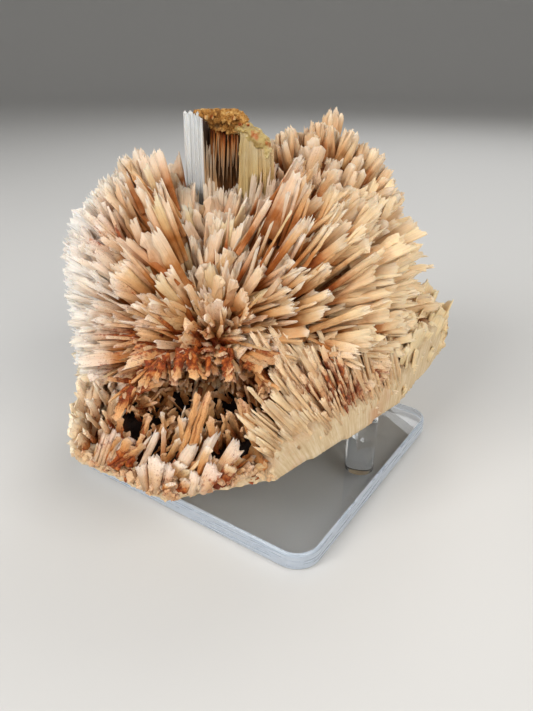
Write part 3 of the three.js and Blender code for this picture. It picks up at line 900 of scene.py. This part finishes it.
def lathTint(kind, tip):
    # the left is whiter and the right end yellower and lighter, the whiteness and lightness partly painted light on
    # those sides, and odd laths are waxy or rosy
    chance, amount = lookRng.random(), lookRng.uniform(0.6, 1)
    left, right = np.clip((-tip[0] - 31) / 13, 0, 1), np.clip((tip[0] - 8) / 22, 0, 1)
    if kind in lathTints:
        return lathTints[kind]
    if kind.startswith(("rear", "stub")):
        return colour(234, 204, 168), 0.5 * amount
    if left > 0.05:
        return colour(244, 241, 235) if tip[2] > 14 else colour(243, 228, 198), 0.95 * left * amount
    if right > 0.05:
        return colour(250, 222, 180), 0.9 * right * amount
    if tip[2] > 34 and chance > 0.15:
        return colour(232, 212, 194), 0.5 * min(1, (tip[2] - 34) / 8) * amount
    if chance < 0.1:
        return colour(212, 200, 154), 0.4 * amount
    return colour(224, 196, 182), 0.4 * amount if chance > 0.8 else 0


def lathPiece(name, laths, finish, tree):
    rows = laths.rows
    mesh = bpy.data.meshes.new(name)
    mesh.from_pydata([tuple(toWorld(r[0])) for r in rows], [], [])
    turns, sizes, shapes, tones, stains, dirts, paleness, fades, heartShades, tints, tintMixes = ([] for _ in range(11))
    for root, along, across, width, thickness, length, kind in rows:
        through = np.cross(along, across)
        basis = Matrix([[across[k], through[k], along[k]] for k in range(3)])
        turns.append(basis.to_euler("XYZ"))
        sizes.append((width * mm, thickness * mm, length * mm))
        tip = root + along * length * 0.8
        shapes.append(int(lookRng.choice(families[lathFamily(kind, width, tip)])))
        tones.append(lookRng.random())
        stains.append(lookRng.uniform(0.25, 1.35) if kind == "sawnFill" else lookRng.uniform(0.55, 1.25))
        # some crumbs are dark red
        dirt = {"towerBack": 0.1, "towerCrumb": 0.2 * lookRng.random(), "hollow": 0.3, "hollowLath": 0.3,
            "crumb": 0.6 * (lookRng.random() < 0.25)}
        dirts.append(dirt.get(kind, 0))
        pale = 0.35 + 0.25 * lookRng.random()
        pale = {"frontLath": 1.0, "towerLeft": 0.95, "towerBack": 0.1, "hollow": 0.5}.get(kind, pale)
        # painted light: laths on the left and at the right end are made paler
        pale += 0.35 * np.clip((-tip[0] - 30) / 18, 0, 1)
        pale += 0.2 * np.clip((tip[0] - 25) / 20, 0, 1) + {"sawnFill": -0.05, "rearFill": 0.2, "endFill": 0.3,
            "roughFill": 0.05}.get(kind, 0)
        apart = np.linalg.norm(tip - hearts["main"])
        paleness.append(min(1, pale + 0.3 * math.exp(-(apart / 24) ** 2)))
        inSpray = kind.startswith(("main", "fine", "side"))
        # near the deep heart the dark foot of the ramp, painted shade, is kept in full
        fade = lathFades.get(kind, 0) * (np.clip((apart - 16) / 18, 0, 1) if inSpray else 1)
        if inSpray:
            # the top, the left and the right end keep less of the dark foot; on the left and right this is partly
            # painted light
            away = max(np.clip((tip[2] - 34) / 12, 0, 1) * 0.36, np.clip((-tip[0] - 31) / 13, 0, 1) * 0.68,
                np.clip((tip[0] - 6) / 22, 0, 1) * 0.58)
            fade = max(fade, away)
        fades.append(fade)
        # painted shade: laths near the deep heart of the flower are made darker and more amber
        heartShades.append(math.exp(-(apart / 26) ** 2) if inSpray else 0)
        shade, amount = lathTint(kind, tip)
        tints.append(shade[:3])
        tintMixes.append(amount)
    for key, kind, values in (
        ("lathTurn", "FLOAT_VECTOR", turns), ("lathSize", "FLOAT_VECTOR", sizes), ("lathShape", "INT", shapes),
        ("lathTone", "FLOAT", tones), ("lathStain", "FLOAT", stains), ("lathDirt", "FLOAT", dirts),
        ("lathPale", "FLOAT", paleness),
        ("lathFade", "FLOAT", fades), ("lathHeartShade", "FLOAT", heartShades), ("lathTint", "FLOAT_VECTOR", tints),
        ("lathTintMix", "FLOAT", tintMixes),
    ):
        writeLayer(mesh, key, kind, values)
    obj = newObject(name, mesh)
    modifier = obj.modifiers.new("bladeSpray", "NODES")
    modifier.node_group = tree
    setInput(modifier, tree, "Lath Shapes", lathShapes)
    setInput(modifier, tree, "Finish", finish)
    plainMesh(obj)
    trimToSolid(obj.data)
    # the stain follows the place of each corner, more on some laths than on others
    count = len(obj.data.vertices)
    stain, dirt = np.zeros(count), np.zeros(count)
    obj.data.attributes["lathStain"].data.foreach_get("value", stain)
    obj.data.attributes["lathDirt"].data.foreach_get("value", dirt)
    places = (corners(obj.data) - np.array([0, 0, sawnZ])) / mm
    obj.data.attributes["lathStain"].data.foreach_set("value", np.clip(stainAt(places) * stain + dirt, 0, 1.6))
    for key in ("lathTurn", "lathSize", "lathShape", "lathDirt"):
        if key in obj.data.attributes:
            obj.data.attributes.remove(obj.data.attributes[key])
    print(name, len(rows), "laths,", sum(len(p.vertices) - 2 for p in obj.data.polygons), "triangles")
    return obj


# materials
class Shader:
    # a small helper to lay nodes out and link them
    def __init__(self, name):
        self.material = bpy.data.materials.new(name)
        self.material.use_nodes = True
        self.tree = self.material.node_tree
        self.bsdf = self.tree.nodes["Principled BSDF"]

    def node(self, kind, settings=None, **inputs):
        made = self.tree.nodes.new(kind)
        for key, value in (settings or {}).items():
            setattr(made, key, value)
        for key, value in inputs.items():
            numbered = key[0] == "i" and key[1:].isdigit()
            socket = made.inputs[int(key[1:]) if numbered else key.replace("_", " ")]
            self.put(socket, value)
        return made

    def put(self, socket, value):
        if isinstance(value, bpy.types.NodeSocket):
            self.tree.links.new(value, socket)
        else:
            socket.default_value = value

    def set(self, **inputs):
        for key, value in inputs.items():
            self.put(self.bsdf.inputs[key.replace("_", " ")], value)

    def attribute(self, name, output="Fac"):
        return self.node("ShaderNodeAttribute", {"attribute_name": name}).outputs[output]

    def math(self, operation, a, b=0.0):
        return self.node("ShaderNodeMath", {"operation": operation}, i0=a, i1=b).outputs[0]

    def add(self, a, b):
        return self.math("ADD", a, b)

    def times(self, a, b):
        return self.math("MULTIPLY", a, b)

    def span(self, value, low, high, toLow=0.0, toHigh=1.0):
        return self.node("ShaderNodeMapRange", {"interpolation_type": "SMOOTHSTEP"}, i0=value, i1=low, i2=high,
            i3=toLow, i4=toHigh).outputs[0]

    def mix(self, factor, a, b, blend="MIX"):
        made = self.tree.nodes.new("ShaderNodeMix")
        made.data_type, made.blend_type = "RGBA", blend
        for index, value in ((0, factor), (6, a), (7, b)):
            self.put(made.inputs[index], value)
        return made.outputs[2]

    def ramp(self, factor, stops):
        made = self.tree.nodes.new("ShaderNodeValToRGB")
        while len(made.color_ramp.elements) < len(stops):
            made.color_ramp.elements.new(0.5)
        for element, (place, shade) in zip(made.color_ramp.elements, stops):
            element.position, element.color = place, shade
        self.put(made.inputs[0], factor)
        return made.outputs[0]

    def objectPoint(self):
        return self.node("ShaderNodeTexCoord").outputs["Object"]

    def noise(self, vector, scale, detail=4.0, rough=0.55):
        return self.node("ShaderNodeTexNoise", None, Vector=vector, Scale=scale, Detail=detail,
            Roughness=rough).outputs[0]

    def bump(self, height, strength, distance):
        self.put(self.bsdf.inputs["Normal"],
            self.node("ShaderNodeBump", None, Strength=strength, Distance=distance, Height=height).outputs[0])


def crystalFinish():
    look = Shader("mordeniteBlades")
    run = look.attribute("lathRun", "Vector")
    parts = look.node("ShaderNodeSeparateXYZ", None, Vector=run)
    tone, stain, pale = look.attribute("lathTone"), look.attribute("lathStain"), look.attribute("lathPale")
    point = look.objectPoint()
    # fibres run the length of each lath
    shift = look.node("ShaderNodeCombineXYZ", None, X=look.times(tone, 37.0), Y=look.times(tone, 11.0), Z=tone)
    stretched = look.node("ShaderNodeVectorMath", {"operation": "MULTIPLY_ADD"}, i0=run, i1=(9.0, 1.1, 1.0),
        i2=shift.outputs[0]).outputs[0]
    fibre = look.noise(stretched, 1.6, 5.0, 0.6)
    cloud = look.noise(point, 95.0, 3.0)
    patches, specks = look.noise(point, 300.0, 3.0), look.noise(point, 1300.0, 3.0, 0.6)
    cloudy = look.add(look.times(look.math("SUBTRACT", cloud, 0.5), 0.4),
        look.times(look.math("SUBTRACT", patches, 0.5), 0.4))
    # the ramp runs from dark amber at the foot of each lath to pale at its tip; the dark, saturated foot is partly
    # the laths' own colour and partly painted shade between the blades
    along = look.add(look.math("MAXIMUM", parts.outputs["Y"], look.attribute("lathFade")), cloudy)
    # painted shade: darker, more amber near the deep heart of the flower
    along = look.math("SUBTRACT", along, look.times(look.attribute("lathHeartShade"), 0.09))
    peach = look.ramp(along, [
        (0.0, colour(66, 20, 2)), (0.22, colour(126, 55, 9)), (0.4, colour(168, 94, 34)),
        (0.58, colour(198, 135, 75)), (0.78, colour(214, 170, 124)), (0.96, colour(236, 216, 194)),
    ])
    cream = look.ramp(along, [
        (0.0, colour(90, 42, 10)), (0.28, colour(176, 112, 48)), (0.54, colour(214, 174, 120)),
        (0.78, colour(225, 197, 157)), (0.96, colour(241, 230, 213)),
    ])
    body = look.mix(look.span(look.add(pale, look.times(tone, 0.35)), 0.45, 1.2), peach, cream)
    upper = look.span(along, 0.3, 0.75)
    body = look.mix(look.times(look.attribute("lathTintMix"), upper), body, look.attribute("lathTint", "Color"))
    shade = look.times(look.span(fibre, 0.27, 0.73, 0.86, 1.04), look.add(look.times(tone, 0.16), 0.9))
    body = look.mix(1.0, body, look.node("ShaderNodeCombineColor", None, i0=shade, i1=shade,
        i2=shade).outputs[0], "MULTIPLY")
    # iron stains: a soft flush, then specks and streaks, most where the growth spots say
    body = look.mix(look.times(stain, 0.24), body, colour(206, 116, 54))
    rust = look.add(look.times(patches, 0.37), look.times(specks, 0.28))
    rust = look.add(rust, look.times(fibre, 0.35))
    soaked = look.times(stain, look.span(along, 0.25, 0.92, 0.29, 0.1))
    edge = look.span(look.math("ABSOLUTE", parts.outputs["X"]), 0.3, 0.5, 0.0, 0.05)
    rustMask = look.span(look.add(look.add(rust, edge), soaked), 0.63, 0.73)
    rustTint = look.ramp(look.noise(point, 800.0, 4.0),
        [(0.34, colour(74, 19, 4)), (0.5, colour(132, 46, 12)), (0.66, colour(198, 112, 50))])
    body = look.mix(look.times(rustMask, 0.9), body, rustTint)
    grit = look.noise(point, 3000.0, 2.0)
    gritMask = look.times(look.span(grit, 0.6, 0.68), look.span(stain, 0.05, 0.5, 0.06, 0.5))
    body = look.mix(gritMask, body, colour(118, 54, 18))
    look.set(Base_Color=body, Roughness=look.span(fibre, 0.2, 0.8, 0.42, 0.66), Subsurface_Weight=0.22,
        Subsurface_Scale=0.0016, Specular_IOR_Level=0.22, IOR=1.48)
    look.bsdf.inputs["Subsurface Radius"].default_value = (1.0, 0.62, 0.38)
    look.bump(look.add(fibre, look.add(look.times(specks, 0.6), look.times(grit, 0.4))), 0.5, 0.0006)
    return look.material


def rootFinish():
    look = Shader("mordeniteRoots")
    point = look.objectPoint()
    sawn = look.attribute("sawnFace")
    grain = look.noise(point, 240.0, 6.0, 0.62)
    blotch = look.noise(point, 60.0, 3.0)
    # painted shade: inside the hollow the root mass goes near black, more so further in; the amber elsewhere is
    # partly the roots' own colour and partly painted shade, dark so the gaps between the blades read as shadow
    deep = look.ramp(grain, [(0.25, colour(6, 2, 1)), (0.55, colour(20, 8, 3)), (0.8, colour(54, 26, 9))])
    amber = look.ramp(grain, [(0.25, colour(62, 25, 6)), (0.52, colour(112, 60, 22)),
        (0.8, colour(166, 112, 58))])
    inner = look.mix(look.attribute("hollowShadeMask"), amber, deep)
    fibre = look.noise(look.attribute("fibreRay", "Vector"), 95.0, 3.0, 0.6)
    outer = look.ramp(look.add(look.times(grain, 0.35), look.times(fibre, 0.65)), [
        (0.3, colour(188, 160, 122)), (0.5, colour(208, 185, 149)), (0.72, colour(224, 208, 182)),
    ])
    outer = look.mix(look.span(blotch, 0.55, 0.72, 0.0, 0.6), outer, colour(178, 112, 64))
    look.set(Base_Color=look.mix(sawn, inner, outer), Roughness=0.78, Specular_IOR_Level=0.15)
    look.bump(look.add(look.times(grain, 0.5), fibre), 0.5, 0.0008)
    return look.material


def crustFinish():
    look = Shader("tanCrust")
    point = look.objectPoint()
    grain = look.noise(point, 620.0, 5.0, 0.65)
    patch = look.noise(point, 130.0, 3.0)
    tan = look.ramp(grain, [(0.28, colour(84, 50, 18)), (0.5, colour(166, 116, 54)),
        (0.75, colour(214, 178, 112))])
    look.set(Base_Color=look.mix(look.span(patch, 0.5, 0.68, 0.0, 0.7), tan, colour(226, 210, 160)),
        Roughness=0.85, Specular_IOR_Level=0.25)
    look.bump(grain, 0.7, 0.0006)
    return look.material


def yellowFinish():
    look = Shader("waxyYellow")
    point = look.objectPoint()
    cloud, grain = look.noise(point, 170.0, 4.0), look.noise(point, 480.0, 5.0, 0.65)
    body = look.ramp(cloud, [(0.3, colour(138, 110, 56)), (0.5, colour(178, 156, 98)),
        (0.7, colour(206, 190, 146))])
    rust = look.span(look.noise(point, 260.0, 3.0), 0.58, 0.66)
    body = look.mix(look.times(rust, 0.85), body, colour(168, 92, 34))
    look.set(Base_Color=body, Roughness=look.span(grain, 0.3, 0.7, 0.34, 0.6), Subsurface_Weight=0.35,
        Subsurface_Scale=0.002)
    look.bsdf.inputs["Subsurface Radius"].default_value = (1.0, 0.8, 0.4)
    look.bump(grain, 0.4, 0.0005)
    return look.material


def acrylicFinish():
    look = Shader("clearAcrylic")
    scratch = look.noise(look.node("ShaderNodeMapping", None, Vector=look.objectPoint(),
        Scale=(60.0, 900.0, 60.0)).outputs[0], 3.0, 3.0)
    look.set(Base_Color=(0.96, 0.98, 1.0, 1), Roughness=look.span(scratch, 0.62, 0.8, 0.02, 0.12),
        Transmission_Weight=1.0, IOR=1.49)
    return look.material


def edgeFinish():
    # the rounded edges get a pale blue, partly diffuse coat: a painted highlight of the light they catch
    look = Shader("paintedEdgeHighlight")
    saw = look.noise(look.node("ShaderNodeMapping", None, Vector=look.objectPoint(),
        Scale=(25.0, 25.0, 420.0)).outputs[0], 4.0, 4.0)
    look.set(Base_Color=look.ramp(saw, [(0.3, colour(206, 221, 239)), (0.7, colour(228, 237, 248))]),
        Roughness=look.span(saw, 0.3, 0.7, 0.22, 0.4))
    look.set(Transmission_Weight=0.45, IOR=1.49)
    return look.material


bladeFinish, rootMaterial, crustMaterial = crystalFinish(), rootFinish(), crustFinish()
yellowMaterial, acrylic, paintedEdgeHighlight = yellowFinish(), acrylicFinish(), edgeFinish()


# specimen
def frustumInto(bm, block, low, high):
    centre = Vector((*block["topCentre"], 0))
    ring = [Vector((*c, 0)) for c in block["corners"]]
    levels = [[bm.verts.new((c.x, c.y, 0)) for c in ring], [bm.verts.new((c.x, c.y, low)) for c in ring]]
    tops = [centre + (c - centre) * block["topShare"] for c in ring]
    levels.append([bm.verts.new((c.x, c.y, high)) for c in tops])
    closeRings(bm, levels)


def sawnBand(bm):
    # the tall sawn face on the right of the front
    outer = [growth["corners"][i] for i in (2, 3, 4, 5)]
    inner = [(49, 25), (30, -6), (15, -21), (-3, -37)]
    ring = outer + inner
    levels = [[bm.verts.new((x, y, z)) for x, y in ring] for z in (0, 7.5)]
    tops = [(x, y) if k > 3 else (x - 1.2, y + 1.2) for k, (x, y) in enumerate(ring)]
    levels.append([bm.verts.new((x, y, 9.5)) for x, y in tops])
    closeRings(bm, levels)


def coreShare(spray, d):
    share = 0.75 + 0.07 * noise.noise(Vector(d * 5))
    if spray["byTower"]:
        towards = unit(np.array(spray["heart"]) - np.array(spray["centre"])) @ d
        share -= 0.17 * np.clip((towards - 0.8) / 0.2, 0, 1)  # the heart of the flower lies deep
        share *= 1 - 0.26 * byTower(d)
    return share


def rootMass():
    look = {"voxel": 1.0, "lump": 0.9, "grain": 0.3, "edge": 0.7}  # mm
    bm = bmesh.new()
    for block in (rootFlanks, backBlock):
        frustumInto(bm, block, look["edge"], rootEdge + block["height"])
    sawnBand(bm)
    for v in bmesh.ops.create_icosphere(bm, subdivisions=3, radius=1)["verts"]:
        v.co = Vector((41, 12, 6)) + Vector((v.co.x * 13, v.co.y * 15, v.co.z * 10))  # the massive right end
    for spray in (mainSpray, rearSpray):
        made = bmesh.ops.create_icosphere(bm, subdivisions=3, radius=1)["verts"]
        for v in made:
            d = np.array(v.co.normalized())
            r = envelopeRadius(spray["radii"], d) * coreShare(spray, d)
            if pointsIntoHollow(d):
                r = min(r, envelopeRadius(spray["core"], d))
            sawnAt = max(sawnReach(np.array(spray["centre"], float), d) - 0.6, 1)
            v.co = Vector(np.array(spray["centre"]) + d * min(r, sawnAt))
    obj = joined("rootMass", bm, look["voxel"])
    mesh = obj.data
    co, nor = corners(mesh), np.zeros(len(mesh.vertices) * 3)
    mesh.vertex_normals.foreach_get("vector", nor)
    nor = nor.reshape(-1, 3)
    sawn = np.zeros(len(co))
    ring = growth["corners"]
    for a, b in sidesOf(ring):
        n = unit([b[1] - a[1], a[0] - b[0]])
        gap = n[0] * (a[0] - co[:, 0]) + n[1] * (a[1] - co[:, 1])
        sawn = np.maximum(sawn, np.clip(1 - gap / 4.0, 0, 1))
    sawn = np.maximum(sawn, np.clip(1 - co[:, 2] / 1.5, 0, 1))
    sawn = np.maximum(sawn, np.clip((co[:, 1] - 30) / 8, 0, 0.8))
    # the hollow is pressed into the front flank, outwards from its middle
    hc, hs = np.array(hollow["centre"]), np.array(hollow["size"])
    rel = (co - hc) / hs
    far = np.linalg.norm(rel, axis=1)
    inside = far < 1
    co[inside] = hc + hs * rel[inside] / far[inside][:, None]
    co[inside, 2] = np.maximum(co[inside, 2], 1.5)
    sawn[inside] = 0
    for i in range(len(co)):
        p = Vector(co[i])
        push = look["lump"] * noise.noise(p * 0.16) + look["grain"] * noise.noise(p * 0.8)
        keep = min(1, max(0, (co[i, 2] - 0.4) / 2)) * (1 if sawn[i] < 0.85 else 0.35)
        if co[i, 1] < -12 and co[i, 0] < 4:
            push += 1.3 * noise.noise(p * 0.45) * (sawn[i] < 0.85)
        if co[i, 1] > 24:
            push = (min(0, 2.4 * noise.noise(p * 0.13) - 0.9) + 1.1 * noise.noise(p * 0.42)
                + 0.5 * noise.noise(p * 1.1) - 2.2)
        co[i] += nor[i] * push * keep
    for a, b in sidesOf(ring):
        n = np.array([*unit([b[1] - a[1], a[0] - b[0]]), 0])
        over = np.maximum((co - np.array([*a, 0])) @ n, 0)
        co -= over[:, None] * n
    co[:, 2] = np.maximum(co[:, 2], 0)
    mesh.vertices.foreach_set("co", toWorld(co).ravel())
    writeLayer(mesh, "sawnFace", "FLOAT", sawn)
    # fibres run out from the spray's middle, and from below the sawn band
    band = (co[:, 0] + 12) * 0.74 - (co[:, 1] + 12) * 0.67 > 20
    origin = np.where(band[:, None], np.array([26, -20, -44]), np.array(mainSpray["centre"]))
    rays = co - origin
    rays /= np.linalg.norm(rays, axis=1)[:, None]
    # how far into the hollow a corner lies, which sets its painted shade
    writeLayer(mesh, "hollowShadeMask", "FLOAT", np.clip((1.7 - far) / 0.5, 0, 1))
    writeLayer(mesh, "fibreRay", "FLOAT_VECTOR", rays)
    mesh.update()
    mesh.materials.clear()
    mesh.materials.append(rootMaterial)
    print("rootMass", len(mesh.polygons), "faces")
    return obj


towerLumps = {
    "towerCrust": {"voxel": 0.4, "rough": 0.9, "grain": 0.7, "lumps": [
        ((-14.5, 13.4, 70.2), (3.0, 2.6, 1.2)), ((-12, 13.4, 69.6), (3.2, 3, 1.7)),
        ((-8.4, 13, 69.4), (3.2, 3, 2.0)), ((-5.6, 12.6, 68.6), (2.2, 2.8, 1.8)),
        ((-10.5, 14.6, 67.4), (3.6, 2.6, 2.0)), ((-7, 14.4, 66.6), (2.8, 2.6, 2.2))]},
    "towerYellow": {"voxel": 0.4, "rough": 0.5, "grain": 0.16, "lumps": [
        ((-4.4, 11.6, 66.8), (2.6, 2.6, 1.5)), ((-2.2, 11, 65.4), (2.8, 2.8, 1.9)),
        ((-0.2, 10.2, 63.4), (2.6, 2.8, 2.2)), ((1.2, 9.4, 61), (1.7, 2.4, 2.2)),
        ((-2.6, 10.6, 62), (3.4, 1.9, 4.0)), ((-0.2, 10, 58.6), (2.8, 1.8, 4.4)),
        ((-3.4, 9.9, 57), (2.4, 1.7, 4.6))]},
}


def lumpPiece(name, finish):
    look = towerLumps[name]
    bm = bmesh.new()
    for centre, size in look["lumps"]:
        for v in bmesh.ops.create_icosphere(bm, subdivisions=3, radius=1)["verts"]:
            v.co = Vector(centre) + Vector([c * s for c, s in zip(v.co, size)])
    obj = joined(name, bm, look["voxel"])
    mesh = obj.data
    normals = [Vector(n.vector) for n in mesh.vertex_normals]
    for v, n in zip(mesh.vertices, normals):
        p = v.co.copy()
        push = look["rough"] * noise.noise(p * 0.9) + look["grain"] * noise.noise(p * 2.3) - 0.1
        v.co = Vector(toWorld(p + n * push))
    trimToSolid(mesh)
    mesh.materials.clear()
    mesh.materials.append(finish)
    print(name, len(mesh.polygons), "faces")
    return obj


tree = bladeTree()
lathNames = ("sprayBlades", "rearBlades", "frontShards", "rimBlades", "towerBlades", "flankBlades")
crystals = [lathPiece(name, laths, bladeFinish, tree) for name, laths in zip(lathNames, growLaths())]
crystals += [rootMass(), lumpPiece("towerCrust", crustMaterial), lumpPiece("towerYellow", yellowMaterial)]
for piece in crystals:
    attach(piece, "root")
    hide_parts("specimen")
for shape in list(lathShapes.objects):
    bpy.data.objects.remove(shape)
bpy.data.collections.remove(lathShapes)


# stand
stand = {
    "side": 76.2, "thickness": 4.8, "corner": 6.5, "edgeRound": 0.7, "turn": -34.3,
    "pegDiameter": 7.9, "pegHeight": 17.2, "pegTip": 1.2, "pegFoot": 0.35, "pegGap": 0.05,
    "pegs": {"stand_peg_right": (32.1, 0), "stand_peg_front_left": (-27.1, -27.1),
        "stand_peg_rear_left": (-27.1, 27.1)},
}
standTurn = Matrix.Rotation(math.radians(stand["turn"]), 4, "Z")


def standPlate():
    half, radius, steps = stand["side"] / 2 - stand["edgeRound"], stand["corner"] - stand["edgeRound"], 16
    outline = []
    for quarter in range(4):
        cx = (half - radius) * (1 if quarter in (0, 3) else -1)
        cy = (half - radius) * (1 if quarter in (0, 1) else -1)
        for k in range(steps + 1):
            angle = math.pi / 2 * (quarter + k / steps)
            outline.append((cx, cy, math.cos(angle), math.sin(angle), radius))
    # rings run from the underside round the polished edge to the top
    e, t = stand["edgeRound"], stand["thickness"]
    levels = []
    for k in range(6):
        a = math.pi / 2 * k / 5
        levels.append((e * math.sin(a), e * (1 - math.cos(a))))
    levels += [(out, t - up) for out, up in reversed(levels)]
    bm = bmesh.new()
    rings = []
    for out, z in levels:
        around = [(cx + (r + out) * c, cy + (r + out) * s) for cx, cy, c, s, r in outline]
        rings.append([bm.verts.new(standTurn @ Vector((x, y, z)) * mm) for x, y in around])
    closeRings(bm, rings, smooth=True)
    mesh = meshFrom(bm, "standPlate")
    mesh.materials.append(acrylic)
    mesh.materials.append(paintedEdgeHighlight)
    for f in mesh.polygons:
        f.material_index = 1 if len(f.vertices) == 4 else 0
    return newObject("standPlate", mesh)


def standPeg(name, place):
    r, h, tip, foot = stand["pegDiameter"] / 2, stand["pegHeight"], stand["pegTip"], stand["pegFoot"]
    profile = [(r - foot, 0), (r, foot)]
    for k in range(7):
        a = math.pi / 2 * k / 6
        profile.append((r - tip + tip * math.cos(a), h - tip + tip * math.sin(a)))
    base, sides = stand["thickness"] + stand["pegGap"], 56
    bm = bmesh.new()
    rings = []
    for radius, z in profile:
        rings.append([])
        for k in range(sides):
            a = 2 * math.pi * k / sides
            p = Vector((place[0] + radius * math.cos(a), place[1] + radius * math.sin(a),
                base + z - stand["pegGap"] * z / h))
            rings[-1].append(bm.verts.new(standTurn @ p * mm))
    closeRings(bm, rings, smooth=True)
    mesh = meshFrom(bm, name)
    mesh.materials.append(acrylic)
    return newObject(name, mesh)


standPieces = [(standPlate(), "stand_base")]
for node, place in stand["pegs"].items():
    standPieces.append((standPeg(node.replace("stand_peg_", "clearPeg_"), place), node))
for piece, node in standPieces:
    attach(piece, "root")
    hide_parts(node)
print("stand:", len(standPieces), "clear pieces")


# camera, floor and light
# mm, degrees, pixels
view = {"place": (1.2, -151.1, 106.4), "tilt": 26.84, "focal": 600, "height": 711, "sensor": 36}
camera = bpy.data.cameras.new("camera")
camera.sensor_fit, camera.sensor_width = "AUTO", view["sensor"]
camera.lens = view["sensor"] * view["focal"] / view["height"]
camera.clip_start = 0.005
cameraObject = newObject("camera", camera)
cameraObject.location = Vector(view["place"]) * mm
cameraObject.rotation_euler = (math.radians(90 - view["tilt"]), 0, 0)
bpy.context.scene.camera = cameraObject


def floor():
    bowl = {"flat": 1.5, "bend": 1.1, "wall": 2.6, "sides": 72, "drop": 0.0004}  # metres
    line = [(0.4, 0), (bowl["flat"], 0)]
    for k in range(1, 17):
        angle = math.pi / 2 * k / 16
        line.append((bowl["flat"] + bowl["bend"] * math.sin(angle), bowl["bend"] * (1 - math.cos(angle))))
    line.append((bowl["flat"] + bowl["bend"], bowl["wall"]))
    bm = bmesh.new()
    rings = []
    for radius, z in line:
        turns = [2 * math.pi * k / bowl["sides"] for k in range(bowl["sides"])]
        rings.append([bm.verts.new((radius * math.cos(a), radius * math.sin(a),
            z - bowl["drop"])) for a in turns])
    bm.faces.new(rings[0])
    for inner, outer in zip(rings, rings[1:]):
        for k in range(bowl["sides"]):
            n = (k + 1) % bowl["sides"]
            bm.faces.new((inner[k], outer[k], outer[n], inner[n])).smooth = True
    mesh = meshFrom(bm, "floor")
    look = Shader("paleFloor")
    look.set(Base_Color=(0.66, 0.66, 0.65, 1), Roughness=0.8)
    mesh.materials.append(look.material)
    return newObject("floor", mesh)


lightAim = Vector((0, 0, 0.05))


def softLight(name, place, size, power, tint):
    data = bpy.data.lights.new(name, "AREA")
    data.shape, data.size, data.energy, data.color = "SQUARE", size, power, tint
    obj = newObject(name, data)
    obj.location = place
    obj.rotation_euler = (lightAim - Vector(place)).to_track_quat("-Z", "Y").to_euler()
    return obj


lights = [
    softLight("windowKey", (-0.5, -0.42, 0.45), 0.45, 5.2, (1.0, 0.985, 0.97)),
    softLight("frontFill", (0.52, -0.56, 0.52), 0.6, 6.0, (1.0, 0.965, 0.92)),
    softLight("backLift", (0.25, 0.6, 0.6), 0.5, 2.2, (1.0, 1.0, 1.0)),
]
floor()
world = bpy.data.worlds.new("softRoom")
world.use_nodes = True
background = world.node_tree.nodes["Background"].inputs
background["Color"].default_value, background["Strength"].default_value = (0.97, 0.95, 0.93, 1), 0.23
bpy.context.scene.world = world
bpy.context.scene.view_settings.view_transform = "Standard"
print("camera and lights placed")
